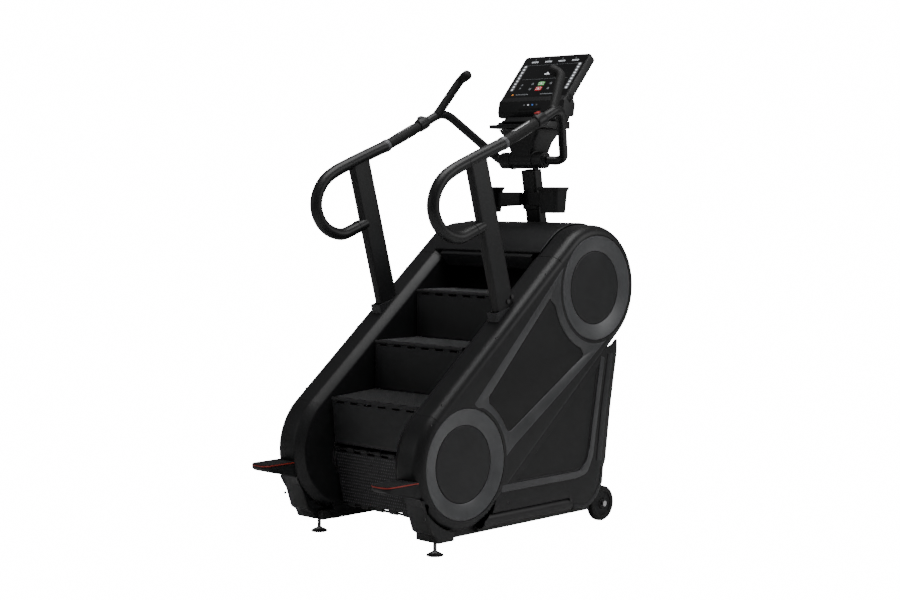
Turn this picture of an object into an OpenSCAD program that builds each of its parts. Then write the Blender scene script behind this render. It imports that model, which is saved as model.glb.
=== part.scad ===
// Stair climber: a revolving staircase between two side housings, with handrails and a console.
// Millimetres. X to the user's right, Y from the user towards the console, Z up, floor at Z 0.
// The origin is on the floor, under the middle of the overall box.

/* [Housings] */
// Distance of the lower disc behind the origin's plane, as a Y coordinate
lower_y = -322; // [-360:1:-290]
// Height of the lower disc's centre
lower_z = 352; // [330:1:380]
// Y coordinate of the upper disc's centre
upper_y = 465.5; // [440:0.5:500]
// Height of the upper disc's centre
upper_z = 1002; // [970:1:1030]
// Radius of the housing's round ends
housing_r = 260; // [250:1:285]
// Half the width between the inner walls
well_half = 262; // [240:1:290]
// Distance from the middle plane to the outer faces
outer_x = 416; // [395:1:440]
// Wall of the moulded housings
wall = 4; // [3:0.5:5]
// Radius of the round disc covers
disc_r = 218; // [200:1:225]
// Radius of the flat middle of a disc cover
disc_flat_r = 150; // [120:1:170]
// Depth of the disc covers' dish
dish = 15; // [8:1:20]

/* [Steps] */
// Depth of one tread, from nosing pin to rear pin
tread_run = 242.6; // [236:0.2:250]
// Height of one riser, from nosing pin to lower pin
riser_rise = 203.1; // [196:0.1:208]
// Thickness of the tread plates
tread_t = 16; // [12:1:18]
// Thickness of the riser plates
riser_t = 10; // [8:1:12]
// Pitch radius of the step chain wheels
chain_r = 120; // [116:1:124]
// Diameter of the hinge rods
rod_d = 10; // [8:1:12]
// Outer diameter of the hinge knuckles
knuckle_d = 18; // [16:1:20]
// Spacing of the knuckles
knuckle_pitch = 81; // [70:1:90]

/* [Frame] */
// Height and width of the base rails
rail = 38; // [30:1:44]
// Thickness of the steel side plates
plate_t = 6; // [4:1:8]
// Radius of the transport wheels
wheel_r = 75; // [65:1:85]
// Width of the transport wheels
wheel_w = 32; // [24:1:40]
// Diameter of the levelling foot pads
foot_d = 67; // [55:1:80]
// Thread diameter of the levelling feet
foot_stem_d = 12; // [10:1:16]

/* [Handrails] */
// Distance from the middle plane to the handrails
rail_x = 337; // [325:1:350]
// Diameter of the rail tube
tube_d = 50; // [42:1:52]
// Diameter of the grip section
grip_d = 43; // [36:1:46]
// Diameter of the forward handle tube
fork_d = 38; // [32:1:42]
// Width of the flat uprights, front to back
post_w = 108; // [90:1:120]
// Thickness of the flat uprights, side to side
post_t = 38; // [30:1:46]

/* [Console] */
// Width of the console
console_w = 376; // [330:2:420]
// Thickness of the console slab
console_t = 40; // [32:1:50]
// Width of the mast, side to side
mast_w = 80; // [64:1:96]
// Depth of the mast, front to back
mast_d = 58; // [46:1:66]
// Width of one bottle holder
cup_w = 112; // [90:1:130]

/* [Hidden] */

$fn = 64;
eps = 0.01;
gap = 0.3;
dy = upper_y - lower_y;
dz = upper_z - lower_z;
centres = sqrt(dy * dy + dz * dz);
slope = atan2(dz, dy);
t_y = dy / centres;
t_z = dz / centres;

// Step chain: eight steps on a loop round two equal wheels
steps = 8;
pitch = sqrt(tread_run * tread_run + riser_rise * riser_rise);
loop_len = steps * pitch;
straight = (loop_len - 2 * PI * chain_r) / 2;
// Height of the chain's upper run above the line through the disc centres
chain_rise = 73;
// Place of the lower chain wheel along the slope
wheel_shift = 18;
sl_y = lower_y + t_y * wheel_shift + t_z * (chain_r - chain_rise);
sl_z = lower_z + t_z * wheel_shift - t_y * (chain_r - chain_rise);
su_y = sl_y + t_y * straight;
su_z = sl_z + t_z * straight;
// Place of hinge pin 1 along the upper run, at rest
phase = 240;

// Point of the chain's path at distance s from the start of the upper run
function turn_point(cy, cz, a) = [cy + chain_r * cos(a), cz + chain_r * sin(a)];
function up_point(s) = [sl_y - t_z * chain_r + t_y * s, sl_z + t_y * chain_r + t_z * s];
function down_point(s) = [su_y + t_z * chain_r - t_y * s, su_z - t_y * chain_r - t_z * s];
function deg(s) = s / chain_r * 180 / PI;
half_turn = PI * chain_r;
function on_path(s) =
    s < 0 ? turn_point(sl_y, sl_z, slope + 90 - deg(s)) :
    s < straight ? up_point(s) :
    s < straight + half_turn ? turn_point(su_y, su_z, slope + 90 - deg(s - straight)) :
    down_point(s - straight - half_turn);
function pin(k) = on_path(phase + (k - 1) * pitch);
// Nosing pin of the step between its riser's pin a and its tread's pin b
function nose(a, b) =
    let (d = norm(b - a), u = (b - a) / d,
         x = (riser_rise * riser_rise - tread_run * tread_run + d * d) / (2 * d),
         h = sqrt(riser_rise * riser_rise - x * x))
    a + u * x + [-u.y, u.x] * h;
function direction(a, b) = atan2(b.y - a.y, b.x - a.x);
h0 = pin(0);
h1 = pin(1);
h2 = pin(2);
h3 = pin(3);
h4 = pin(4);
h5 = pin(5);
h6 = pin(6);
h7 = pin(7);
n0 = nose(h7, h0);
n1 = nose(h0, h1);
n2 = nose(h1, h2);
n3 = nose(h2, h3);
n4 = nose(h3, h4);
n5 = nose(h4, h5);
n6 = nose(h5, h6);
n7 = nose(h6, h7);
step_half = well_half - 10;
chain_w = 8;
chain_x = step_half + 1;
chain_h = 12;
rod_half = chain_x - gap;
open_gap = 9;
// Half widths of the knuckle zones on a tread and of the riser's knuckles in them
zone_half = 19.5;
upper_knuckle = 18.5;
lower_knuckle = knuckle_pitch / 2 - zone_half - 1;

// Frame
frame_in = well_half + wall;
post_in = frame_in + plate_t;
tie_at = [520, 1190];
tie_w = 78;
tie_h = 34;
frame_z = 60;
rail_top = frame_z + rail;
shaft_d = 30;
shaft_half = frame_in + plate_t + 16;
rail_y0 = -452;
rail_y1 = 492;
foot_y = -414;
wheel_y = 573;
wheel_x = 350;
axle_d = 14;

// Housings
flat_in = 300;
flat_out = 389;
inner_drop = 30;
outer_drop = 16;
pocket = 10;
inlay_t = 4;
cover_t = 16;
hood_gap = 2;
hood_r = housing_r + 8.5;
rear_top_z = 765;
hood_half = 306;
hood_front = -85;

// Handrails
post_foot = [-26, 930];
post_head = [-188, 1530];
post_lean = atan2(post_head.y - post_foot.y, post_head.x - post_foot.x) - 90;
ring_at = [-32, 1592];
rail_start = [-338, 1480];
rail_lean = atan2(ring_at.y - rail_start.y, ring_at.x - rail_start.x);
loop_r = 131;
grip_lean = 23.9;

// Console and mast
mast_foot = [562, 1235];
mast_head = [517, 1497];
mast_lean = atan2(mast_head.y - mast_foot.y, mast_head.x - mast_foot.x) - 90;
barrel_at = [474, 1534];
barrel_r = 36;
barrel_half = 122;
glass_low = [517, 1789];
glass_top = [696, 1996];
screen_lean = atan2(glass_top.y - glass_low.y, glass_top.x - glass_low.x);
screen_len = norm(glass_top - glass_low);

// Extrudes an outline in (Y, Z) from x0 to x1
module across(x0, x1) {
    translate([x0, 0, 0]) rotate([90, 0, 90]) linear_extrude(x1 - x0) children();
}
// Cylinder along X, centred on the (Y, Z) point p
module axle(p, d, x0, x1) {
    translate([x0, p.x, p.y]) rotate([0, 90, 0]) cylinder(d = d, h = x1 - x0);
}
// Both sides, or the side named by s, +1 right and -1 left
module on_side(s) {
    if (s > 0) children();
    if (s < 0) mirror([1, 0, 0]) children();
}
module both_sides() {
    children();
    mirror([1, 0, 0]) children();
}
// Local frame with Y up the slope and Z away from it, at the lower centre
module at_slope() {
    translate([0, lower_y, lower_z]) rotate([slope, 0, 0]) children();
}
module at_lower() {
    translate([0, lower_y, lower_z]) rotate([0, 90, 0]) children();
}
module at_upper() {
    translate([0, upper_y, upper_z]) rotate([0, 90, 0]) children();
}
// Straight bar from a to b in (Y, Z), w thick across its length and from x0 to x1
module bar(a, b, w, x0, x1) {
    translate([x0, a.x, a.y]) rotate([direction(a, b), 0, 0])
        translate([0, 0, -w / 2]) cube([x1 - x0, norm(b - a), w]);
}
// Round tube between two points in space
module rod_between(p, q, d) {
    v = q - p;
    translate(p) rotate([0, acos(v.z / norm(v)), atan2(v.y, v.x)]) cylinder(d = d, h = norm(v));
}
// Outline with two round ends, r from the line through the disc centres
module stadium(r) {
    translate([lower_y, lower_z]) circle(r);
    translate([upper_y, upper_z]) circle(r);
    translate([lower_y, lower_z]) rotate(slope) translate([0, -r]) square([centres, 2 * r]);
}
// Solid of revolution at both centres and the prism between, from a list of [radius, x]
module run_body(pts) {
    last = len(pts) - 1;
    mirrored = [for (i = [last:-1:0]) if (pts[i].x > 0) [pts[i].y, pts[i].x]];
    at_slope() {
        translate([0, centres, 0]) rotate([0, 90, 0]) rotate_extrude(angle = 180, $fn = 96) polygon(pts);
        rotate([180, 0, 0]) rotate([0, 90, 0]) rotate_extrude(angle = 180, $fn = 96) polygon(pts);
        rotate([-90, 0, 0]) linear_extrude(centres)
            polygon(concat([for (p = pts) [p.y, -p.x]], mirrored));
    }
}
// Points of an arc in (Y, Z)
function arc(c, r, a0, a1, n) = [for (i = [0:n]) c + r * [cos(a0 + (a1 - a0) * i / n), sin(a0 + (a1 - a0) * i / n)]];

// Housing shells
function shell_profile(w) = [
    [0, well_half + w], [housing_r - inner_drop - w * 0.4, well_half + w],
    [housing_r - w, flat_in + w * 0.4], [housing_r - w, flat_out - w * 0.4],
    [housing_r - outer_drop - w * 0.6, outer_x - w], [0, outer_x - w]];
inlay_arc = housing_r + 3;
inlay = concat(
    [[176, 972]],
    arc([upper_y, upper_z], inlay_arc, 194.5, 249, 10),
    [[381, 719], [-56, 458], [-74, 455]],
    arc([lower_y, lower_z], inlay_arc, 25.9, 58.4, 8),
    [[-187, 598], [-172, 617]]);
module shroud(s) {
    color([0.05, 0.05, 0.055]) on_side(s) difference() {
        run_body(shell_profile(0));
        run_body(shell_profile(wall));
        at_lower() translate([0, 0, outer_x - 40]) cylinder(r = disc_r + gap, h = 60);
        at_upper() translate([0, 0, outer_x - 40]) cylinder(r = disc_r + gap, h = 60);
        across(outer_x - 20, outer_x + 20) polygon(inlay);
        shaft_holes();
        // Lower side left open towards the side cover
        at_slope() translate([frame_in, -60, -housing_r - 10]) cube([outer_x - cover_t - 2 - frame_in, centres - 30, 60]);
        // Bottom left open towards the base frame
        translate([frame_in, lower_y - 120, 0]) cube([outer_x - wall - frame_in - 16, 300, rail_top + 44]);
        // Slots for the mast tie and the handrail post
        translate([frame_in - wall - 1, tie_at.x - gap, tie_at.y - gap]) cube([plate_t + wall + 2, tie_w + 2 * gap, tie_h + 2 * gap]);
        post_bar(-80, 300, post_w + 1, post_t + 1);
    }
}
module post_bar(lift, len_p, w, t) {
    at = post_foot + lift * [-sin(post_lean), cos(post_lean)];
    bar(at, at + len_p * [-sin(post_lean), cos(post_lean)], w, rail_x - t / 2, rail_x + t / 2);
}
module shroud_left() shroud(-1);
module shroud_right() shroud(1);
module shaft_holes() {
    axle([sl_y, sl_z], shaft_d + 8, well_half - 5, frame_in + 5);
    axle([su_y, su_z], shaft_d + 8, well_half - 5, frame_in + 5);
}
module disc_cover() {
    rotate_extrude($fn = 96) polygon([
        [0, outer_x - dish - 4], [0, outer_x - dish], [disc_flat_r, outer_x - dish],
        [disc_r - 6, outer_x - 1], [disc_r - gap, outer_x - 1], [disc_r - gap, outer_x - wall],
        [disc_r + 8, outer_x - wall], [disc_r + 8, outer_x - wall - 3], [disc_r - 10, outer_x - wall - 3],
        [disc_flat_r + 2, outer_x - dish - 4]]);
}
module lower_disc_covers() color([0.12, 0.12, 0.13]) both_sides() at_lower() disc_cover();
module upper_disc_covers() color([0.12, 0.12, 0.13]) both_sides() at_upper() disc_cover();
module inlay_panels() color([0.09, 0.09, 0.1]) both_sides()
    across(outer_x - wall - inlay_t, outer_x - wall) difference() {
        // Slope-aligned backing sheet behind the opening, clear of the disc covers
        polygon(concat(
            [[173, 988]],
            arc([upper_y, upper_z], inlay_arc - 9, 190, 252, 10),
            [[388, 706], [-60, 443], [-80, 440]],
            arc([lower_y, lower_z], inlay_arc - 9, 22, 62, 8),
            [[-203, 598], [-180, 632]]));
        translate([lower_y, lower_z]) circle(disc_r + 10);
        translate([upper_y, upper_z]) circle(disc_r + 10);
    }

// Side covers below the housings, with the rear corner and the wheel fairing
side_outline = [[-228, 108], [300, 106], [318, 88], [385, 78], [440, 96], [478, 128], [510, 178],
    [519, 250], [531, 268], [562, 500], [604, 726], [600, 760], [560, 800], [380, 800], [-228, 200]];
panel_outline = [[-118, 246], [300, 246], [360, 258], [395, 282], [416, 330], [478, 705], [452, 716]];
module side_cover(s) {
    color([0.05, 0.05, 0.055]) on_side(s) difference() {
        union() {
            across(outer_x - cover_t, outer_x) polygon(side_outline);
            // Flange to the rear cover
            bar([529, 268], [598, 715], 10, outer_x - 40, outer_x - cover_t + eps);
        }
        across(frame_in - 10, outer_x + 10) stadium(housing_r + gap);
        across(outer_x - pocket, outer_x + 10) polygon(panel_outline);
        axle([-90, 82], 64, frame_in, outer_x + 10);
        // Seat over the side tube
        translate([frame_in, -240, frame_z]) cube([outer_x - frame_in + 20, 556, cover_seat_z - frame_z]);
    }
}
module side_cover_left() side_cover(-1);
module side_cover_right() side_cover(1);
module rear_cover() {
    cover_half = outer_x - 40 - gap;
    color([0.05, 0.05, 0.055]) difference() {
        union() {
            bar([526, 258], [600, 735], 5, -cover_half, cover_half);
            for (x = [-0.85, -0.6, 0.6, 0.85])
                bar([532, 268], [602, 720], 8, x * cover_half - 8, x * cover_half + 8);
            // Turned-in upper edge that meets the hood
            bar([600, 735], [600, 765], 5, -hood_half, hood_half);
        }
        translate([0, 565, 330]) cube([90, 90, 46], center = true);
    }
}
module hood_outline() {
    difference() {
        translate([centres, 0]) difference() {
            circle(hood_r);
            circle(housing_r);
            translate([-600, -600]) square([600, 1200]);
        }
        // Open below the rear cover's top edge
        rotate(-slope) translate([-1000, rear_top_z - lower_z - 600]) square([3000, 600]);
    }
    translate([centres + hood_front, housing_r]) square([-hood_front, hood_r - housing_r]);
}
module hood() {
    color([0.06, 0.06, 0.065]) difference() {
        across(-hood_half, hood_half) translate([lower_y, lower_z]) rotate(slope) hood_outline();
        on_mast(-100) translate([-mast_w / 2 - 0.5, -mast_d / 2 - 0.5, 0]) cube([mast_w + 1, mast_d + 1, 200]);
    }
}

// Front leg covers and step-up pegs
leg_outline = [[-566, 246], [-550, 236], [-519, 144], [-507, 108], [-483, 93], [-470, 62], [-380, 62],
    [-380, 160], [-500, 246]];
module leg_covers() {
    color([0.05, 0.05, 0.055]) both_sides() difference() {
        across(flat_in + 2, outer_x - 6) polygon(leg_outline);
        across(flat_in - 10, outer_x + 10) stadium(housing_r + gap);
        translate([0, rail_y0 - 1, frame_z - 10]) cube([frame_in + 92, 200, rail + 11]);
    }
}
peg_x0 = 302;
peg_x1 = 402;
peg_tip = -734;
peg_z = 306;
module step_peg(s) {
    color([0.07, 0.07, 0.07]) on_side(s) difference() {
        across(peg_x0, peg_x1) polygon([[peg_tip + 4, peg_z], [peg_tip, peg_z - 6], [peg_tip + 6, peg_z - 18],
            [-640, peg_z - 44], [-568, peg_z - 59.5], [-540, peg_z - 59.5], [-540, peg_z]]);
        across(peg_x0 - 10, peg_x1 + 10) stadium(housing_r + gap);
        // Rounded tip corners
        for (x = [peg_x0, peg_x1]) translate([x, peg_tip, 0]) rotate(45) cube([26, 26, 800], center = true);
    }
}
module step_peg_left() step_peg(-1);
module step_peg_right() step_peg(1);
module peg_pads() {
    color([0.45, 0.06, 0.05]) both_sides() difference() {
        across(peg_x0, peg_x1) polygon([[peg_tip + 1, peg_z], [peg_tip + 1, peg_z + 5], [peg_tip + 5, peg_z + 8],
            [-560, peg_z + 8], [-560, peg_z]]);
        across(peg_x0 - 10, peg_x1 + 10) stadium(housing_r + gap);
        for (x = [peg_x0, peg_x1]) translate([x, peg_tip, 0]) rotate(45) cube([26, 26, 800], center = true);
    }
}

// Base frame: rails, cross tubes, posts, side plates
module side_plate_outline() {
    difference() {
        union() {
            translate([lower_y, lower_z]) circle(housing_r - inner_drop - 6);
            translate([upper_y, upper_z]) circle(housing_r - inner_drop - 6);
            translate([lower_y, lower_z]) rotate(slope) translate([0, -150]) square([centres, 330]);
            polygon([[-400, frame_z], [rail_y1, frame_z], [rail_y1, 300], [532, 620], [430, 840], [-200, 340], [-400, 200]]);
        }
        translate([sl_y, sl_z]) circle(d = shaft_d + 18.1);
        translate([su_y, su_z]) circle(d = shaft_d + 18.1);
        translate(brake_at) circle(d = brake_d + 0.1);
    }
}
// Forward cross tube of the base, set back under the steps
cross_y = 100;
module base_frame() {
    color([0.08, 0.08, 0.08]) {
        both_sides() {
            difference() {
                translate([post_in, rail_y0, frame_z]) cube([84, rail_y1 - rail_y0, rail]);
                translate([rail_x, foot_y, frame_z - 1]) cylinder(d = foot_stem_d + 0.1, h = rail + 2);
            }
            across(frame_in, post_in) side_plate_outline();
            // Rear bracket for the wheel axle
            across(post_in + 34, post_in + 54) difference() {
                translate([rail_y1 - 10, frame_z + 4]) square([wheel_y - rail_y1 + 34, rail - 8]);
                translate([wheel_y, wheel_r]) circle(d = axle_d + 0.1);
            }
            // Post under the handrail upright, welded to the side plate
            across(post_in, post_in + 24) polygon([[-60, 640], [20, 700], [40, 830], [-40, 830]]);
            across(post_in, rail_x + 12) polygon([[-38, 800], [36, 800], [30, 856], [-40, 856]]);
            post_bar(-78, 150, post_w - 32, post_t - 8.4);
        }
        for (y = [cross_y, rail_y1 - rail]) translate([-post_in - 1, y, frame_z]) cube([2 * post_in + 2, rail, rail]);
        // Tie between the plates that carries the mast
        difference() {
            translate([-post_in, tie_at.x, tie_at.y]) cube([2 * post_in, tie_w, tie_h]);
            on_mast(-100) translate([-mast_w / 2 - 0.2, -mast_d / 2 - 0.2, 0]) cube([mast_w + 0.4, mast_d + 0.4, 200]);
        }
    }
}
module shaft_bearings() {
    color([0.55, 0.55, 0.57]) both_sides() for (c = [[sl_y, sl_z], [su_y, su_z]]) difference() {
        union() {
            axle(c, shaft_d + 18, frame_in, frame_in + plate_t + 8);
            axle(c, shaft_d + 40, frame_in + plate_t, frame_in + plate_t + 4);
        }
        axle(c, shaft_d + 0.06, 200, 400);
    }
}
tube_x = outer_x - 32;
tube_z = 113;
side_tube_d = 62;
// Height where the side cover's inner face meets the tube
cover_seat_z = tube_z + sqrt(pow(side_tube_d / 2, 2) - pow(tube_x - outer_x + cover_t, 2)) + 0.3;
module side_tubes() {
    color([0.06, 0.06, 0.06]) both_sides() difference() {
        union() {
            translate([tube_x, -215, tube_z]) rotate([-90, 0, 0]) cylinder(d = side_tube_d, h = 530);
            translate([frame_in + plate_t + 84, -215, frame_z + 10]) cube([20, 530, 20]);
        }
        translate([tube_x, -216, tube_z]) rotate([-90, 0, 0]) cylinder(d = side_tube_d - 6, h = 510);
        across(frame_in, outer_x + 40) translate([lower_y, lower_z]) circle(housing_r + gap);
    }
}
module wheel(s) {
    color([0.03, 0.03, 0.03]) on_side(s) translate([wheel_x, wheel_y, wheel_r]) rotate([0, 90, 0])
        rotate_extrude($fn = 96) polygon([
            [axle_d / 2 + 0.05, -wheel_w / 2], [wheel_r - 26, -wheel_w / 2 + 4], [wheel_r - 20, -wheel_w / 2],
            [wheel_r - 5, -wheel_w / 2], [wheel_r, -wheel_w / 2 + 7], [wheel_r, wheel_w / 2 - 7],
            [wheel_r - 5, wheel_w / 2], [wheel_r - 20, wheel_w / 2], [wheel_r - 26, wheel_w / 2 - 4],
            [axle_d / 2 + 0.05, wheel_w / 2]]);
}
module wheel_left() wheel(-1);
module wheel_right() wheel(1);
module wheel_bolts() {
    color([0.75, 0.75, 0.77]) both_sides() {
        axle([wheel_y, wheel_r], axle_d, frame_in + plate_t + 34, wheel_x + wheel_w / 2 + 2);
        translate([wheel_x + wheel_w / 2 + 1, wheel_y, wheel_r]) rotate([0, 90, 0])
            cylinder(d = 26, h = 9, $fn = 6);
    }
}
module levelling_foot(s) {
    color([0.6, 0.6, 0.6]) on_side(s) translate([rail_x, foot_y, 0]) {
        cylinder(d = foot_d, h = 6);
        translate([0, 0, 6 - eps]) cylinder(d = foot_d - 14, h = 6);
        translate([0, 0, 12 - eps]) cylinder(d = 24, h = 7, $fn = 6);
        translate([0, 0, 12]) cylinder(d = foot_stem_d, h = frame_z + rail - 16);
    }
}
module levelling_foot_left() levelling_foot(-1);
module levelling_foot_right() levelling_foot(1);

// Handrails: flat upright, loop and main rail
module elbow(c, r, a0, a1, d) {
    // Quarter-like bend in the (Y, Z) plane about c
    translate([0, c.x, c.y]) rotate([0, 0, 0]) rotate([a0, 0, 0]) rotate([90, 0, 90])
        rotate_extrude(angle = a1 - a0, $fn = 96) translate([r, 0]) circle(d = d);
}
loop_dir = rail_lean;
u_y = cos(loop_dir);
u_z = sin(loop_dir);
loop_c = rail_start + loop_r * [sin(loop_dir), -cos(loop_dir)];
loop_low = loop_c + loop_r * [sin(loop_dir), -cos(loop_dir)];
module handrail(s) {
    color([0.06, 0.06, 0.065]) on_side(s) {
        difference() {
            bar(post_foot + [-3, 0], post_head, post_w, rail_x - post_t / 2, rail_x + post_t / 2);
            bar(post_foot + [-3, -40], post_head + [36, -90], post_w - 8, rail_x - post_t / 2 + 4, rail_x + post_t / 2 - 4);
        }
        translate([rail_x, 0, 0]) {
            rod_between([0, rail_start.x, rail_start.y], [0, ring_at.x, ring_at.y], tube_d);
            elbow(loop_c, loop_r, loop_dir + 90, loop_dir + 270, tube_d + 0.8);
            rod_between([0, loop_low.x, loop_low.y], [0, loop_low.x + 140 * u_y, loop_low.y + 140 * u_z], tube_d);
        }
    }
}
module handrail_left() handrail(-1);
module handrail_right() handrail(1);
module post_boots() {
    color([0.05, 0.05, 0.05]) both_sides() difference() {
        bar(post_foot + [6, -34], post_foot + [-5, 8], post_w + 22, rail_x - post_t / 2 - 9, rail_x + post_t / 2 + 9);
        bar(post_foot + [12, -80], post_head, post_w + 0.4, rail_x - post_t / 2 - 0.2, rail_x + post_t / 2 + 0.2);
        across(200, 420) stadium(housing_r + gap);
    }
}
module post_bolts() {
    color([0.35, 0.35, 0.36]) both_sides() for (p = [[-22, 966], [2, 984]])
        translate([rail_x + post_t / 2, p.x, p.y]) rotate([0, 90, 0]) cylinder(d = 16, h = 6, $fn = 24);
}
function along(p, a, d) = p + d * [cos(a), sin(a)];
module along_rail(p, q, d) {
    rod_between([rail_x, p.x, p.y], [rail_x, q.x, q.y], d);
}
module rail_collars() color([0.3, 0.3, 0.31]) both_sides()
    along_rail(along(ring_at, grip_lean, 2), along(ring_at, grip_lean, 15.9), tube_d + 3);
module hand_grips() color([0.05, 0.05, 0.05]) both_sides() difference() {
    along_rail(along(ring_at, grip_lean, 16), along(ring_at, grip_lean, 212), grip_d);
    for (side = [-1, 1]) contact(side, 0.2);
}
module contact(side, slack) {
    p = along(ring_at, grip_lean, 66);
    translate([rail_x, p.x, p.y]) rotate([grip_lean, 0, 0])
        translate([-7 - slack, -slack, side * (grip_d / 2 - 2.4) - 1.6 - slack]) cube([14 + 2 * slack, 118 + 2 * slack, 3.2 + 2 * slack]);
}
module pulse_contacts() color([0.75, 0.75, 0.76]) both_sides() for (side = [-1, 1]) contact(side, 0);
pod_a = along(ring_at, grip_lean, 212);
pod_b = along(ring_at, grip_lean, 268);
module control_pods() {
    color([0.05, 0.05, 0.05]) both_sides() difference() {
        union() {
            along_rail(pod_a, pod_b, tube_d + 2);
            translate([rail_x, pod_a.x, pod_a.y]) rotate([grip_lean, 0, 0])
                translate([-19, 4, 0]) cube([38, 48, tube_d / 2 + 8]);
        }
        pod_key_shape(0.3, 30);
    }
}
module pod_key_shape(slack, deep) {
    translate([rail_x, pod_a.x, pod_a.y]) rotate([grip_lean, 0, 0])
        translate([-11 - slack, 16 - slack, tube_d / 2 + 10 - deep / 2])
            cube([22 + 2 * slack, 24 + 2 * slack, deep]);
}
module pod_key(s) color(s > 0 ? [0.6, 0.1, 0.08] : [0.4, 0.4, 0.42]) on_side(s) pod_key_shape(0, 10);
module pod_key_left() pod_key(-1);
module pod_key_right() pod_key(1);

// Forward handles: tip stalk and fork tube down to the clamp
tip_root = [rail_x - 2, 276, 1730];
tip_knee = [290, 379, 1887];
tip_end = [238, 373, 1912];
fork_corner = [318, 1749];
fork_low = [178, 527, 1529];
// Tube swept along a path, with a radius for each point
function unit(v) = v / norm(v);
function ring_at_point(c, t, ref, r, n) = let (u = unit(cross(t, ref)), w = cross(u, t))
    [for (k = [0:n - 1]) c + r * (cos(360 * k / n) * u + sin(360 * k / n) * w)];
function bend(a, corner, b, c, n) = let (p = corner + c * unit(a - corner), q = corner + c * unit(b - corner))
    [for (i = [0:n]) let (s = i / n) (1 - s) * (1 - s) * p + 2 * s * (1 - s) * corner + s * s * q];
module swept_tube(path, radii, ref, n = 24) {
    m = len(path);
    tangents = [for (i = [0:m - 1]) unit(path[min(i + 1, m - 1)] - path[max(i - 1, 0)])];
    points = [for (i = [0:m - 1]) each ring_at_point(path[i], tangents[i], ref, radii[i], n)];
    sides = [for (i = [0:m - 2]) for (k = [0:n - 1])
        [i * n + k, i * n + (k + 1) % n, (i + 1) * n + (k + 1) % n, (i + 1) * n + k]];
    caps = [[for (k = [n - 1:-1:0]) k], [for (k = [0:n - 1]) (m - 1) * n + k]];
    polyhedron(points, concat(sides, caps));
}
pod_end = along(ring_at, grip_lean, 269);
fork_path = let (a = [rail_x, pod_end.x, pod_end.y], b = [rail_x, fork_corner.x, fork_corner.y],
    e = [barrel_half + 5, barrel_at.x, barrel_at.y])
    concat([a], bend(a, b, fork_low, 62, 10), bend(b, fork_low, e, 34, 8), [e]);
tip_path = concat([tip_root], bend(tip_root, tip_knee, tip_end, 24, 6), [tip_end],
    [for (d = [6, 12, 16]) tip_end + d * unit(tip_end - tip_knee)]);
tip_radii = concat([for (i = [0:7]) fork_d / 2], [fork_d / 2 + 3, fork_d / 2 + 2, fork_d / 2 - 4, 6]);
module fork_handle(s) {
    color([0.05, 0.05, 0.055]) on_side(s) {
        difference() {
            swept_tube(fork_path, [for (p = fork_path) fork_d / 2], [0.7, 0, 0.7]);
            axle(barrel_at, 2 * barrel_r + 0.4, 0, barrel_half + 0.2);
            axle(barrel_at, 2 * barrel_r - 19.6, 0, barrel_half + 6.2);
        }
        swept_tube(tip_path, tip_radii, [0.7, -0.7, 0]);
    }
}
module fork_handle_left() fork_handle(-1);
module fork_handle_right() fork_handle(1);
module barrel_clamp() {
    color([0.06, 0.06, 0.06]) {
        axle(barrel_at, 2 * barrel_r, -barrel_half, barrel_half);
        axle(barrel_at, 2 * barrel_r + 8, 60, 68);
        axle(barrel_at, 2 * barrel_r + 8, -68, -60);
        axle(barrel_at, 2 * barrel_r - 20, -barrel_half - 6, barrel_half + 6);
    }
}

// Mast, neck and console
module on_mast(lift) {
    translate([0, mast_foot.x, mast_foot.y]) rotate([mast_lean, 0, 0]) translate([0, 0, lift]) children();
}
mast_len = norm(mast_head - mast_foot);
module rounded_bar(w, d, h, r) {
    translate([-w / 2, -d / 2 + r, 0]) cube([w, d - 2 * r, h]);
    translate([-w / 2 + r, -d / 2, 0]) cube([w - 2 * r, d, h]);
    for (x = [-1, 1], y = [-1, 1]) translate([x * (w / 2 - r), y * (d / 2 - r), 0]) cylinder(r = r, h = h);
}
module mast() color([0.05, 0.05, 0.05]) difference() {
    on_mast(-11) rounded_bar(mast_w, mast_d, mast_len + 8, 12);
    on_mast(-20) rounded_bar(mast_w - 8, mast_d - 8, mast_len + 2, 8);
}
module mast_collar() color([0.1, 0.1, 0.1]) difference() {
    on_mast(6) rounded_bar(mast_w + 26, mast_d + 24, 22, 14);
    on_mast(-20) rounded_bar(mast_w + 0.4, mast_d + 0.4, 100, 12);
    across(-200, 200) stadium(hood_r + gap);
}
module console_neck() {
    color([0.05, 0.05, 0.055]) difference() {
        union() {
            // Tapered column between the clamp and the tray
            across(-56, 56) polygon([[446, 1520], [500, 1500], [545, 1504], [575, 1570], [592, 1664], [428, 1664], [440, 1580]]);
            across(-84, 84) polygon([[440, 1600], [560, 1600], [592, 1664], [428, 1664]]);
            across(-110, 110) polygon([[434, 1640], [584, 1640], [592, 1668], [424, 1668]]);
            on_mast(mast_len - 4) rounded_bar(mast_w + 44, mast_d + 30, 14, 14);
        }
        axle(barrel_at, 2 * barrel_r + 0.4, -150, 150);
        for (s = [-1, 1]) axle(barrel_at, 2 * barrel_r + 8.4, s * 64 - 4.2, s * 64 + 4.2);
        on_mast(-20) rounded_bar(mast_w + 0.4, mast_d + 0.4, mast_len + 17.3, 12);
    }
}
tray_half = 152;
module console_tray() {
    color([0.05, 0.05, 0.055]) difference() {
        across(-tray_half, tray_half) polygon([[410, 1672], [420, 1668], [600, 1668], [600, 1700], [470, 1700], [416, 1684], [408, 1688]]);
        // Shallow groove for a phone or tablet edge
        across(-tray_half + 10, tray_half - 10) polygon([[424, 1690], [424, 1677], [452, 1682], [452, 1700]]);
    }
}
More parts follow.
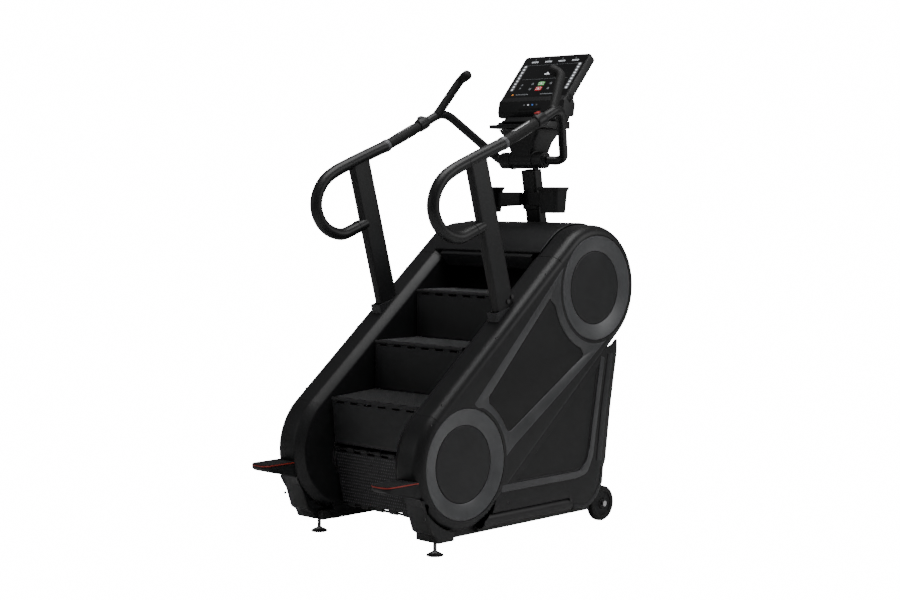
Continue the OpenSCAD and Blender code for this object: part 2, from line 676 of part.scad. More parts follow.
// Console in its own lean: local Y up the glass, local Z out of it
module at_screen() {
    translate([0, glass_low.x, glass_low.y]) rotate([screen_lean, 0, 0]) children();
}
glass_t = 3;
key_w = 34;
key_h = 22;
start_at = 92;
stop_at = 62;
module console_shell() {
    color([0.04, 0.04, 0.045]) difference() {
        union() {
            // Slab behind the glass
            at_screen() translate([-console_w / 2, 0, -console_t]) cube([console_w, screen_len, console_t - glass_t]);
            // Rim round the glass
            at_screen() translate([-console_w / 2, 0, -glass_t - eps]) cube([console_w, 6, glass_t]);
            at_screen() translate([-console_w / 2, screen_len - 6, -glass_t - eps]) cube([console_w, 6, glass_t]);
            for (s = [0, 1]) at_screen() translate([s ? console_w / 2 - 6 : -console_w / 2, 0, -glass_t - eps])
                cube([6, screen_len, glass_t]);
            // Chin with the storage slot
            across(-console_w / 2, console_w / 2) polygon([[510, 1733], [526, 1718], [580, 1718], [575, 1780], [548, 1825], [517, 1789]]);
            across(-console_w / 2 + 36, console_w / 2 - 36) polygon([[500, 1700], [590, 1700], [625, 1800], [600, 1850], [560, 1800], [512, 1722]]);
        }
        translate([-62, 480, 1740]) cube([124, 60, 12]);
        at_screen() translate([-console_w / 2 + 6.2, 6.2, -glass_t]) cube([console_w - 12.4, screen_len - 12.4, 80]);
        at_screen() for (y = [start_at, stop_at])
            translate([-key_w / 2 - 0.3, y - 0.3, -12]) cube([key_w + 0.6, key_h + 0.6, 20]);
    }
}
module console_glass() {
    color([0.01, 0.01, 0.012]) difference() {
        at_screen() translate([-console_w / 2 + 6.2, 6.2, -glass_t]) cube([console_w - 12.4, screen_len - 12.4, glass_t]);
        at_screen() for (y = [start_at, stop_at])
            translate([-key_w / 2 - 0.3, y - 0.3, -12]) cube([key_w + 0.6, key_h + 0.6, 20]);
    }
}
module console_key(y) {
    at_screen() translate([-key_w / 2, y, -5]) cube([key_w, key_h, 8]);
}
module start_key() color([0.2, 0.6, 0.15]) console_key(start_at);
module stop_key() color([0.75, 0.08, 0.08]) console_key(stop_at);

// Bottle holders on arms from the mast
cup_y = 450;
cup_z = 1308;
cup_h = 112;
cup_d = 92;
cup_x = 128;
module bottle_holders() {
    color([0.04, 0.04, 0.04]) {
        both_sides() difference() {
            union() {
                translate([cup_x, cup_y - cup_d / 2, cup_z]) cube([cup_w, cup_d, cup_h]);
                translate([cup_x - 5, cup_y - cup_d / 2 - 5, cup_z + cup_h - 10]) cube([cup_w + 10, cup_d + 10, 10]);
                translate([mast_w / 2 + gap - 0.1, cup_y + 8, cup_z + 26]) cube([cup_x - mast_w / 2, 34, 70]);
            }
            translate([cup_x + 4, cup_y - cup_d / 2 + 4, cup_z + 4]) cube([cup_w - 8, cup_d - 8, cup_h]);
        }
        // Saddle round the front of the mast
        difference() {
            translate([-mast_w / 2 - 8, cup_y + 8, cup_z + 26]) cube([mast_w + 16, 110, 70]);
            on_mast(-20) rounded_bar(mast_w + 0.2, mast_d + 0.2, mast_len + 100, 12);
            translate([-mast_w, 545, cup_z]) cube([2 * mast_w, 60, 120]);
        }
    }
}

// Step chains and guides
module chain_loops() {
    color([0.3, 0.3, 0.31]) both_sides() across(chain_x, chain_x + chain_w) difference() {
        chain_band(chain_r + chain_h / 2);
        chain_band(chain_r - chain_h / 2);
    }
}
module chain_band(r) {
    translate([sl_y, sl_z]) circle(r);
    translate([su_y, su_z]) circle(r);
    translate([sl_y, sl_z]) rotate(slope) translate([0, -r]) square([straight, 2 * r]);
}
module chain_guides() {
    color([0.75, 0.75, 0.72]) both_sides() for (side = [-1, 1])
        translate([chain_x + 1, sl_y, sl_z]) rotate([slope, 0, 0])
            translate([0, 60, side * (chain_r - chain_h / 2 - 7) - 7]) cube([well_half - chain_x - 1, straight - 120, 14]);
}
module chain_wheels(c) {
    for (s = [-1, 1]) across(s > 0 ? chain_x : -chain_x - chain_w, s > 0 ? chain_x + chain_w : -chain_x) difference() {
        translate(c) circle(chain_r - chain_h / 2 - 0.6);
        for (a = [0:60:300]) translate(c + 68 * [cos(a), sin(a)]) circle(d = 44);
    }
    axle(c, shaft_d, -shaft_half, shaft_half);
    for (s = [-1, 1]) axle(c, 56, s > 0 ? chain_x - 14 : -chain_x, s > 0 ? chain_x : -chain_x + 14);
}
belt_x = frame_in + plate_t + 12;
belt_w = 24;
big_r = 96;
small_r = 22;
brake_at = [385, 330];
brake_d = 18;
module drive_shaft() {
    color([0.6, 0.6, 0.62]) {
        chain_wheels([su_y, su_z]);
        // Driven pulley outside the left plate
        axle([su_y, su_z], 2 * big_r, -belt_x - belt_w, -belt_x);
        axle([su_y, su_z], shaft_d, -belt_x - belt_w - 4, -shaft_half + eps);
    }
}
module idler_shaft() color([0.6, 0.6, 0.62]) chain_wheels([sl_y, sl_z]);
module drive_belt() {
    run = [su_y, su_z];
    color([0.03, 0.03, 0.03]) across(-belt_x - belt_w + 3, -belt_x - 3) difference() {
        belt_outline(run, big_r + 3.4, brake_at, small_r + 3.4);
        belt_outline(run, big_r + 0.4, brake_at, small_r + 0.4);
    }
}
// Outline round two circles with their outer tangents
module belt_outline(a, ra, b, rb) {
    d = norm(b - a);
    w = direction(a, b);
    k = acos((ra - rb) / d);
    translate(a) circle(ra);
    translate(b) circle(rb);
    polygon([a + ra * [cos(w + k), sin(w + k)], b + rb * [cos(w + k), sin(w + k)],
        b + rb * [cos(w - k), sin(w - k)], a + ra * [cos(w - k), sin(w - k)]]);
}
module brake_rotor() {
    color([0.45, 0.45, 0.47]) {
        axle(brake_at, 2 * small_r, -belt_x - belt_w, -belt_x);
        axle(brake_at, brake_d, -belt_x, -frame_in + 40);
        axle(brake_at, 120, -frame_in + 40, -frame_in + 80);
    }
}

// Steps: tread and riser plates with interlocking knuckles
// Local frame from a towards b: outlines are in (distance along, height)
module laid(a, b) {
    translate([0, a.x, a.y]) rotate([direction(a, b), 0, 0]) children();
}
// Knuckle zones, clipped to the plate's width
module zones(half) {
    for (i = [-3:3]) {
        x0 = max(-step_half, i * knuckle_pitch - half);
        x1 = min(step_half, i * knuckle_pitch + half);
        across(x0, x1) children();
    }
}
module between_zones(half) {
    for (i = [-3:2]) across((i + 0.5) * knuckle_pitch - half, (i + 0.5) * knuckle_pitch + half) children();
}
// Tread from nosing a to rear pin b
module tread_plate(a, b) {
    len_t = norm(b - a);
    laid(a, b) {
        zones(zone_half) {
            difference() {
                union() {
                    translate([0, -tread_t / 2]) square([len_t - 12, tread_t]);
                    translate([len_t - 13, 3 - tread_t / 2]) square([13, tread_t - 6]);
                    translate([len_t, 0]) circle(d = knuckle_d);
                }
                circle(d = knuckle_d + 8);
                translate([len_t, 0]) circle(d = rod_d + 0.1);
            }
            circle(d = rod_d);
        }
        between_zones(knuckle_pitch / 2 - zone_half) difference() {
            union() {
                translate([0, -tread_t / 2]) square([len_t - 12, tread_t]);
                circle(d = tread_t);
            }
            translate([len_t, 0]) circle(d = knuckle_d + 4);
        }
    }
}
// Riser from its lower pin a to the nosing b; cut short at a foot or a nosing that stays open
module riser_plate(a, b, cut, open_nose = false) {
    len_r = norm(b - a);
    low = 12 + cut;
    high = open_nose ? 22 : 14;
    laid(a, b) {
        across(-step_half + 1, step_half - 1) translate([low, -riser_t / 2]) square([len_r - low - high, riser_t]);
        if (!open_nose) zones(upper_knuckle) difference() {
            union() {
                translate([low + 20, 1 - riser_t / 2]) square([len_r - low - 20, riser_t - 2]);
                translate([len_r, 0]) circle(d = knuckle_d - 2);
            }
            translate([len_r, 0]) circle(d = rod_d + 0.1);
        }
        if (cut == 0) between_zones(lower_knuckle) difference() {
            union() {
                translate([0, 1 - riser_t / 2]) square([40, riser_t - 2]);
                circle(d = knuckle_d);
            }
            circle(d = rod_d + 0.1);
        }
    }
}
module rod(p) axle(p, rod_d, -rod_half, rod_half);
tread_c = [0.07, 0.07, 0.07];
riser_c = [0.1, 0.1, 0.105];
module treads_up() color(tread_c) {
    tread_plate(n2, h2);
    tread_plate(n3, h3);
    rod(h1);
    rod(h2);
    rod(h3);
}
module risers_up() color(riser_c) {
    riser_plate(h1, n2, 0);
    riser_plate(h2, n3, 0);
}
module steps_down() color(tread_c) {
    tread_plate(n6, h6);
    tread_plate(n7, h7);
    riser_plate(h5, n6, 0);
    riser_plate(h6, n7, 0);
    rod(h5);
    rod(h6);
    rod(h7);
}
module tread_0() color(tread_c) {
    tread_plate(n0, h0);
    rod(h0);
}
module riser_0() color(riser_c) riser_plate(h7, n0, 0, true);
module tread_1() color(tread_c) tread_plate(n1, h1);
module riser_1() color(riser_c) riser_plate(h0, n1, open_gap);
module tread_4() color(tread_c) {
    tread_plate(n4, h4);
    rod(h4);
}
module riser_4() color(riser_c) riser_plate(h3, n4, 0, true);
module tread_5() color(tread_c) tread_plate(n5, h5);
module riser_5() color(riser_c) riser_plate(h4, n5, open_gap);

base_frame();
shroud_left();
shroud_right();
lower_disc_covers();
upper_disc_covers();
inlay_panels();
side_cover_left();
side_cover_right();
rear_cover();
hood();
leg_covers();
step_peg_left();
step_peg_right();
peg_pads();
side_tubes();
wheel_left();
wheel_right();
wheel_bolts();
levelling_foot_left();
levelling_foot_right();
handrail_left();
handrail_right();
post_boots();
post_bolts();
rail_collars();
hand_grips();
pulse_contacts();
control_pods();
pod_key_left();
pod_key_right();
fork_handle_left();
fork_handle_right();
barrel_clamp();
mast();
mast_collar();
console_neck();
console_tray();
console_shell();
console_glass();
start_key();
stop_key();
bottle_holders();
shaft_bearings();
chain_loops();
chain_guides();
drive_shaft();
idler_shaft();
treads_up();
risers_up();
steps_down();
tread_0();
riser_0();
tread_1();
riser_1();
tread_4();
riser_4();
tread_5();
riser_5();
drive_belt();
brake_rotor();
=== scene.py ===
import math
import bpy
import bmesh
from mathutils import Matrix, Vector
from mathutils.geometry import tessellate_polygon


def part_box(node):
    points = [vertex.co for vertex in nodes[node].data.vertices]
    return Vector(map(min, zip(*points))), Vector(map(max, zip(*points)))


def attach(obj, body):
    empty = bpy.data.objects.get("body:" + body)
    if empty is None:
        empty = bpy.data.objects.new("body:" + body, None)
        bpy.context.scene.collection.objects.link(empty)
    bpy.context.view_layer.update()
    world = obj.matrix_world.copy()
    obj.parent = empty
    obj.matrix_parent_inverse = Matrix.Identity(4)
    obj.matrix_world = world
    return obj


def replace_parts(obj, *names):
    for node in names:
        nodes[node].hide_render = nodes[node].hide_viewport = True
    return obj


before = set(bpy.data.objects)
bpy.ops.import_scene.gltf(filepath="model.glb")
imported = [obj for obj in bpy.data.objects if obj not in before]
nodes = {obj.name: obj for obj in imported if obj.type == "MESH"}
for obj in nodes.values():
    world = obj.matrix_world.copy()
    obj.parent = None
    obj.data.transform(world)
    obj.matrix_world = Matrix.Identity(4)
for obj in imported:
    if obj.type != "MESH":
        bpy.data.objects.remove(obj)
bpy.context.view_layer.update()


# ---------------------------------------------------------------- materials
class Signal:
    """A shader value; expressions on it add Math nodes."""

    def __init__(self, surface, socket):
        self.surface, self.socket = surface, socket

    def _math(self, operation, first, second):
        return self.surface.node("ShaderNodeMath", {"operation": operation}, {0: first, 1: second})

    def __add__(self, other):
        return self._math("ADD", self, other)

    __radd__ = __add__

    def __sub__(self, other):
        return self._math("SUBTRACT", self, other)

    def __rsub__(self, other):
        return self._math("SUBTRACT", other, self)

    def __mul__(self, other):
        return self._math("MULTIPLY", self, other)

    __rmul__ = __mul__


class Surface:
    """One material under construction."""

    def __init__(self, name):
        self.material = bpy.data.materials.new(name)
        self.material.use_nodes = True
        self.tree = self.material.node_tree
        self.shader = self.tree.nodes["Principled BSDF"]

    def node(self, kind, settings=None, sockets=None, output=0):
        made = self.tree.nodes.new(kind)
        for key, value in (settings or {}).items():
            if key == "stops":
                ramp = made.color_ramp.elements
                while len(ramp) < len(value):
                    ramp.new(0.5)
                for stop, (place, colour) in zip(ramp, value):
                    stop.position, stop.color = place, colour
            else:
                setattr(made, key, value)
        for key, value in (sockets or {}).items():
            self.feed(made.inputs[key], value)
        return Signal(self, made.outputs[output])

    def feed(self, socket, value):
        if isinstance(value, Signal):
            self.tree.links.new(value.socket, socket)
        else:
            socket.default_value = value

    def set(self, **values):
        for key, value in values.items():
            self.feed(self.shader.inputs[key.replace("_", " ")], value)

    def place(self):
        return self.node("ShaderNodeTexCoord", output=3)

    def noise(self, scale, detail=4.0, roughness=0.55, at=None):
        sockets = {"Vector": at or self.place(), "Scale": scale, "Detail": detail, "Roughness": roughness}
        return self.node("ShaderNodeTexNoise", None, sockets)

    def cells(self, scale, at=None):
        return self.node("ShaderNodeTexVoronoi", None, {"Vector": at or self.place(), "Scale": scale})

    def stretched(self, x, y, z):
        return self.node("ShaderNodeMapping", None, {"Vector": self.place(), "Scale": (x, y, z)})

    def colour_mix(self, factor, first, second):
        mix = self.tree.nodes.new("ShaderNodeMix")
        mix.data_type = "RGBA"
        self.feed(mix.inputs[0], factor)
        self.feed(mix.inputs[6], first)
        self.feed(mix.inputs[7], second)
        return Signal(self, mix.outputs[2])

    def bump(self, height, strength, distance):
        sockets = {"Height": height, "Strength": strength, "Distance": distance}
        return self.node("ShaderNodeBump", None, sockets)

    def painted_edge_highlight(self, low, high):
        # Pointiness: high on convex edges, used to paint a highlight along them
        point = self.node("ShaderNodeNewGeometry", output=7)
        return self.node("ShaderNodeMapRange", None, {0: point, 1: low, 2: high, 3: 0.0, 4: 1.0})


def rgba(grey, tint=(1.0, 1.0, 1.0)):
    return (grey * tint[0], grey * tint[1], grey * tint[2], 1.0)


COOL = (0.97, 0.99, 1.05)


def moulded(name, grey, rough, grain=900.0, depth=0.00006, spread=0.35, tint=COOL, level=0.35, handled=0.1):
    """Moulded plastic: fine pitted grain, faint cloudy colour and gloss, paler along convex edges as a painted
    highlight.
    """
    s = Surface(name)
    cloud = s.noise(9.0, 5.0)
    fine = s.noise(grain, 2.0, 0.6)
    pits = s.cells(grain * 0.7)
    edge = s.painted_edge_highlight(0.53, 0.62)
    body = s.colour_mix(cloud, rgba(grey * (1 - spread), tint), rgba(grey * (1 + spread), tint))
    s.set(Base_Color=s.colour_mix(edge * 0.35, body, rgba(grey * 1.9 + 0.01, tint)),
          Roughness=(cloud - 0.5) * handled + fine * 0.06 + (rough - 0.03),
          Normal=s.bump(fine * 0.6 + pits * 0.4, 0.35, depth))
    s.shader.inputs["Specular IOR Level"].default_value = level
    return s.material


def coated(name, grey, rough, level=0.4):
    """Powder coat on steel: orange-peel ripple, dry-looking sheen, and convex edges painted paler as a
    highlight.
    """
    s = Surface(name)
    cloud = s.noise(7.0, 4.0)
    peel = s.noise(420.0, 3.0, 0.5)
    edge = s.painted_edge_highlight(0.54, 0.64)
    body = s.colour_mix(cloud, rgba(grey * 0.75, COOL), rgba(grey * 1.3, COOL))
    s.set(Base_Color=s.colour_mix(edge * 0.3, body, rgba(grey * 2.2 + 0.01)),
          Roughness=peel * 0.12 + (cloud - 0.5) * 0.1 + (rough - 0.06),
          Normal=s.bump(peel, 0.3, 0.00012))
    s.shader.inputs["Specular IOR Level"].default_value = level
    return s.material


def steel(name, grey, rough, along=(1.0, 1.0, 1.0), tint=(1.0, 1.0, 1.01)):
    """Plated or brushed steel with fine drawn lines."""
    s = Surface(name)
    lines = s.noise(1.0, 5.0, 0.65, at=s.stretched(*[900.0 * a for a in along]))
    cloud = s.noise(30.0, 3.0)
    s.set(Base_Color=s.colour_mix(cloud, rgba(grey * 0.85, tint), rgba(min(1.0, grey * 1.12), tint)),
          Roughness=lines * 0.16 + cloud * 0.08 + (rough - 0.1), Metallic=1.0,
          Normal=s.bump(lines, 0.2, 0.00003))
    return s.material


def rubber(name, grey, rough, scale=1400.0, depth=0.00015, tint=(1.0, 1.0, 1.0)):
    """Matt rubber with a close pebbled skin."""
    s = Surface(name)
    pebbles = s.cells(scale)
    cloud = s.noise(14.0, 4.0)
    s.set(Base_Color=s.colour_mix(cloud, rgba(grey * 0.7, tint), rgba(grey * 1.4, tint)),
          Roughness=(cloud - 0.5) * 0.12 + pebbles * 0.1 + (rough - 0.03),
          Normal=s.bump(pebbles, 0.45, depth))
    s.shader.inputs["Specular IOR Level"].default_value = 0.3
    return s.material


def coloured(name, colour, rough, glow=0.0, coat=0.0):
    """Small coloured moulding or printed mark."""
    s = Surface(name)
    cloud = s.noise(60.0, 3.0)
    fine = s.noise(1800.0, 2.0)
    dark = tuple(0.82 * c for c in colour) + (1.0,)
    light = tuple(min(1.0, 1.12 * c) for c in colour) + (1.0,)
    s.set(Base_Color=s.colour_mix(cloud, dark, light), Roughness=fine * 0.1 + (rough - 0.05),
          Normal=s.bump(fine, 0.2, 0.00003))
    s.shader.inputs["Coat Weight"].default_value = coat
    if glow:
        s.set(Emission_Color=s.colour_mix(cloud, dark, light))
        s.shader.inputs["Emission Strength"].default_value = glow
    return s.material


def dark_glass():
    """Black display glass, faintly smudged."""
    s = Surface("display_glass")
    smudge = s.noise(14.0, 5.0, 0.6)
    fine = s.noise(300.0, 2.0)
    s.set(Base_Color=s.colour_mix(smudge, rgba(0.004, COOL), rgba(0.009, COOL)),
          Roughness=smudge * 0.09 + fine * 0.03 + 0.05, Normal=s.bump(smudge, 0.04, 0.0002))
    s.shader.inputs["Specular IOR Level"].default_value = 0.5
    return s.material


HOUSING = moulded("housing_black", 0.0135, 0.42)
DISC = moulded("disc_grey", 0.022, 0.46, grain=1100.0)
DISC_RING = moulded("disc_ring_grey", 0.085, 0.34, grain=1300.0, level=0.5)
BEVEL = moulded("bevel_grey", 0.060, 0.34, grain=1300.0, level=0.5)
INLAY = moulded("inlay_black", 0.0095, 0.5)
SIDE = moulded("side_cover_black", 0.0135, 0.46)
# Lighter than the side cover's black: a painted highlight on the rounded rear column and wheel fairing
COLUMN_HIGHLIGHT = moulded("column_painted_highlight", 0.030, 0.40, grain=1200.0)
HOOD = moulded("hood_black", 0.014, 0.44)
COATED = coated("rail_black", 0.0115, 0.42)
FRAME = coated("frame_black", 0.011, 0.5)
GRIP = rubber("grip_rubber", 0.012, 0.6)
TYRE = rubber("tyre_rubber", 0.014, 0.6, scale=900.0)
BOOT = moulded("boot_grey", 0.026, 0.42)
PEG = moulded("peg_black", 0.012, 0.6, grain=500.0, depth=0.0003)
RED = coloured("edge_red", (0.34, 0.03, 0.02), 0.45)
STEEL = steel("plated_steel", 0.55, 0.32)
CONTACT = steel("contact_steel", 0.62, 0.26, along=(1.0, 0.02, 0.3))
DARK_STEEL = steel("dark_steel", 0.12, 0.4)
CHAIN = steel("oiled_chain", 0.2, 0.38)
RING = moulded("collar_grey", 0.10, 0.4, level=0.5)
TREAD = moulded("tread_black", 0.014, 0.45, grain=700.0, level=0.45)
RISER = moulded("riser_black", 0.017, 0.42)
STUD = moulded("stud_grey", 0.060, 0.36, level=0.5)
CONSOLE = moulded("console_black", 0.011, 0.42)
GLASS = dark_glass()
GREEN = coloured("key_green", (0.10, 0.42, 0.09), 0.35, glow=0.25, coat=0.3)
KEY_RED = coloured("key_red", (0.55, 0.03, 0.035), 0.35, glow=0.3, coat=0.3)
POD_RED = coloured("pod_key_red", (0.35, 0.02, 0.02), 0.4)
POD_GREY = moulded("pod_key_grey", 0.12, 0.4)
LIT = coloured("lit_mark", (0.75, 0.78, 0.82), 0.4, glow=0.6)
DIM = coloured("dim_mark", (0.16, 0.17, 0.18), 0.4, glow=0.12)
AMBER = coloured("amber_mark", (0.8, 0.28, 0.04), 0.4, glow=0.4)
BLUE = coloured("blue_mark", (0.08, 0.22, 0.7), 0.4, glow=0.5)
BAND = moulded("key_band_grey", 0.09, 0.45)
GUIDE = moulded("guide_white", 0.55, 0.5)
BELT = rubber("belt_black", 0.015, 0.6)
# Near-black for gaps, grooves, screw sockets and the chin slot: painted shade in those hollows
SHADE_BLACK = moulded("painted_shade_black", 0.004, 0.8)


# ---------------------------------------------------------------- mesh tools
def finish_mesh(name, verts, faces, material, body="frame", angle=35.0, mats=None, face_mats=None):
    mesh = bpy.data.meshes.new(name)
    mesh.from_pydata([tuple(v) for v in verts], [], faces)
    bm = bmesh.new()
    bm.from_mesh(mesh)
    bmesh.ops.remove_doubles(bm, verts=bm.verts, dist=1e-6)
    bmesh.ops.recalc_face_normals(bm, faces=bm.faces)
    bm.to_mesh(mesh)
    bm.free()
    mesh.polygons.foreach_set("use_smooth", [True] * len(mesh.polygons))
    mesh.set_sharp_from_angle(angle=math.radians(angle))
    for m in (mats or [material]):
        mesh.materials.append(m)
    if face_mats and len(face_mats) == len(mesh.polygons):
        mesh.polygons.foreach_set("material_index", face_mats)
    piece = bpy.data.objects.new(name, mesh)
    bpy.context.scene.collection.objects.link(piece)
    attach(piece, body)
    return piece


def soften(piece, width, segments=3, angle=30.0):
    bevel = piece.modifiers.new("edges", "BEVEL")
    bevel.width, bevel.segments, bevel.limit_method = width, segments, "ANGLE"
    bevel.angle_limit, bevel.harden_normals = math.radians(angle), False
    return piece


def mirrored(verts):
    return [Vector((-v[0], v[1], v[2])) for v in verts]


def sided(s, verts):
    return verts if s > 0 else mirrored(verts)


def circle(r, n):
    return [(r * math.cos(2 * math.pi * k / n), r * math.sin(2 * math.pi * k / n)) for k in range(n)]


def ring_faces(rows, n, start=0):
    """Quads between successive rings of n points each."""
    return [[start + i * n + k, start + i * n + (k + 1) % n, start + (i + 1) * n + (k + 1) % n,
             start + (i + 1) * n + k]
            for i in range(rows - 1) for k in range(n)]


def slab(name, outline, x0, x1, material, width=0.003, s=1, body="frame", segments=3, angle=30.0):
    """Plate with an outline in (Y, Z) between x0 and x1, edges rounded."""
    n = len(outline)
    verts = [Vector((x0, y, z)) for y, z in outline] + [Vector((x1, y, z)) for y, z in outline]
    faces = [list(range(n)), list(range(n, 2 * n))] + ring_faces(2, n)
    piece = finish_mesh(name, sided(s, verts), faces, material, body, angle)
    return soften(piece, width, segments) if width else piece


def loft(name, rings, material, s=1, body="frame", angle=35.0, caps=True):
    """Skin over rings that have the same number of points."""
    n = len(rings[0])
    verts = [Vector(p) for ring in rings for p in ring]
    faces = ring_faces(len(rings), n)
    if caps:
        faces += [list(range(n)), [(len(rings) - 1) * n + k for k in range(n)]]
    return finish_mesh(name, sided(s, verts), faces, material, body, angle)


def path_frames(points):
    """Frames carried along a path without twist."""
    points = [Vector(p) for p in points]
    tangents = [(points[min(i + 1, len(points) - 1)] - points[max(i - 1, 0)]).normalized()
                for i in range(len(points))]
    side = tangents[0].cross(Vector((0.31, 0.2, 0.93))).normalized()
    out = []
    for point, tangent in zip(points, tangents):
        side = (side - tangent * side.dot(tangent)).normalized()
        out.append((point, side, tangent.cross(side)))
    return out


def tube(name, points, radius, material, s=1, body="frame", n=32, dome=False):
    """Round tube along a path; radius may be a list."""
    radii = radius if isinstance(radius, list) else [radius] * len(points)
    points = [Vector(p) for p in points]
    if dome:
        way = (points[-1] - points[-2]).normalized()
        end, r = points[-1], radii[-1]
        for step in range(1, 8):
            a = step * math.pi / 16
            points.append(end + way * r * math.sin(a) * 0.75)
            radii.append(r * math.cos(a))
    rings = [[point + u * a + w * b for a, b in circle(r, n)]
             for (point, u, w), r in zip(path_frames(points), radii)]
    return loft(name, rings, material, s, body, 40.0)


def rounded_path(corners, radii, step=8):
    """Polyline whose corners are replaced with arcs of about the given radii."""
    corners = [Vector(c) for c in corners]
    out = [corners[0]]
    for i in range(1, len(corners) - 1):
        a, c, b = corners[i - 1], corners[i], corners[i + 1]
        u, w = (a - c).normalized(), (b - c).normalized()
        turn = u.angle(w)
        reach = radii[i - 1] / math.tan(turn / 2)
        p, q = c + u * reach, c + w * reach
        centre = c + (u + w).normalized() * (radii[i - 1] / math.sin(turn / 2))
        v0, v1 = p - centre, q - centre
        full = v0.angle(v1)
        for k in range(step + 1):
            f = k / step
            out.append(centre + (v0 * math.sin((1 - f) * full) + v1 * math.sin(f * full)) / math.sin(full))
    return out + [corners[-1]]


def turned(name, profile, centre, material, s=1, body="frame", n=64, mats=None, pick=None, angle=30.0):
    """Solid of revolution about X through centre (Y, Z), from (radius, x) pairs."""
    pick = pick or [0] * (len(profile) - 1)
    verts = [Vector((x, centre[0] + a, centre[1] + b)) for r, x in profile for a, b in circle(r, n)]
    faces = ring_faces(len(profile), n)
    picks = [chosen for chosen in pick[:len(profile) - 1] for _ in range(n)]
    if profile[0][0] > 1e-5:
        faces.append(list(range(n)))
        picks.append(pick[0])
    if profile[-1][0] > 1e-5:
        faces.append([(len(profile) - 1) * n + k for k in range(n)])
        picks.append(pick[-1])
    return finish_mesh(name, sided(s, verts), faces, material, body, angle, mats, picks)


def ring_points(centre, r, start, end, n):
    """Arc of n steps about a centre, between two angles in degrees."""
    return [(centre[0] + r * math.cos(math.radians(start + (end - start) * k / n)),
             centre[1] + r * math.sin(math.radians(start + (end - start) * k / n))) for k in range(n + 1)]


def rounded_rect(w, h, r, n=6):
    points = []
    for turn, (across, up) in enumerate(((1, 1), (-1, 1), (-1, -1), (1, -1))):
        centre = (across * (w / 2 - r), up * (h / 2 - r))
        points += ring_points(centre, r, 90 * turn, 90 * turn + 90, n)
    return points


def resample(points, n):
    """n points evenly spaced along a polyline, ends kept."""
    points = [Vector(p) for p in points]
    lengths = [0.0]
    for a, b in zip(points, points[1:]):
        lengths.append(lengths[-1] + (b - a).length)
    out = []
    for k in range(n):
        d = lengths[-1] * k / (n - 1)
        i = max(j for j in range(len(points) - 1) if lengths[j] <= d + 1e-9)
        f = (d - lengths[i]) / max(1e-9, lengths[i + 1] - lengths[i])
        out.append(points[i].lerp(points[i + 1], min(1.0, f)))
    return out


def cad_surface(name, material, angle=32.0):
    mesh = nodes[name].data
    mesh.materials.clear()
    mesh.materials.append(material)
    mesh.polygons.foreach_set("material_index", [0] * len(mesh.polygons))
    mesh.polygons.foreach_set("use_smooth", [True] * len(mesh.polygons))
    mesh.set_sharp_from_angle(angle=math.radians(angle))


# ---------------------------------------------------------------- camera, light, floor
view = bpy.data.objects.new("camera", bpy.data.cameras.new("camera"))
bpy.context.scene.collection.objects.link(view)
view.location = (4.934, -5.041, 1.435)
view.rotation_euler = (math.radians(86.0974), 0.0, math.radians(44.3017))
view.data.lens, view.data.sensor_width = 68.375, 36.0
bpy.context.scene.camera = view


def area_light(name, place, aim, size, power):
    lamp = bpy.data.lights.new(name, "AREA")
    lamp.energy, lamp.size = power, size
    holder = bpy.data.objects.new(name, lamp)
    bpy.context.scene.collection.objects.link(holder)
    holder.location = place
    holder.rotation_euler = (Vector(aim) - Vector(place)).to_track_quat("-Z", "Y").to_euler()


area_light("overhead", (0.6, 0.2, 5.2), (0, 0, 0.6), 3.0, 150)
area_light("right_soft", (4.6, 3.4, 3.0), (0.3, 0, 0.8), 2.4, 70)
area_light("front_soft", (-2.4, -5.2, 2.6), (0, 0, 0.8), 2.4, 22)

floor_mesh = bpy.data.meshes.new("floor")
floor_mesh.from_pydata([(-60, -60, 0), (60, -60, 0), (60, 60, 0), (-60, 60, 0)], [], [(0, 1, 2, 3)])
floor = bpy.data.objects.new("floor", floor_mesh)
bpy.context.scene.collection.objects.link(floor)
paper = Surface("floor_paper")
paper_cloud = paper.noise(3.0, 3.0)
paper.set(Base_Color=paper.colour_mix(paper_cloud, rgba(0.93), rgba(0.95)), Roughness=0.9)
glow = paper.node("ShaderNodeEmission", None, {0: (1.0, 1.0, 1.0, 1.0), 1: 16.0})
seen = paper.node("ShaderNodeLightPath")
blend_shader = paper.node("ShaderNodeMixShader", None,
                          {0: seen * 1.0, 1: Signal(paper, paper.shader.outputs[0]), 2: glow})
paper.feed(paper.tree.nodes["Material Output"].inputs[0], blend_shader)
floor_mesh.materials.append(paper.material)

world = bpy.data.worlds.new("studio")
bpy.context.scene.world = world
world.use_nodes = True
sky = world.node_tree.nodes["Background"]
sky.inputs[0].default_value = (1.0, 1.0, 1.0, 1.0)
direct = world.node_tree.nodes.new("ShaderNodeLightPath")
level = world.node_tree.nodes.new("ShaderNodeMapRange")
level.inputs[3].default_value, level.inputs[4].default_value = 0.11, 16.0
world.node_tree.links.new(direct.outputs[0], level.inputs[0])
world.node_tree.links.new(level.outputs[0], sky.inputs[1])


# ---------------------------------------------------------------- places taken from the CAD frame
def centre_of(name):
    lo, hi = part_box(name)
    return ((lo.y + hi.y) / 2, (lo.z + hi.z) / 2)


lower, upper = centre_of("lower_disc_covers"), centre_of("upper_disc_covers")
outer_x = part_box("shroud_right")[1].x
run = math.dist(lower, upper)
slope = math.atan2(upper[1] - lower[1], upper[0] - lower[0])
ALONG = (math.cos(slope), math.sin(slope))
RISE = (-math.sin(slope), math.cos(slope))
# Housing section: radius of the rim, and the rounded outer edge's reach and start
HOUSING_R = 0.260
EDGE_REACH = 0.040
EDGE_DEPTH = 0.0435
EDGE_START = outer_x - 0.0005 - EDGE_DEPTH
# Radius of the opening that holds a disc, and the points round it
DISC_EDGE = 0.2187
AROUND = 128


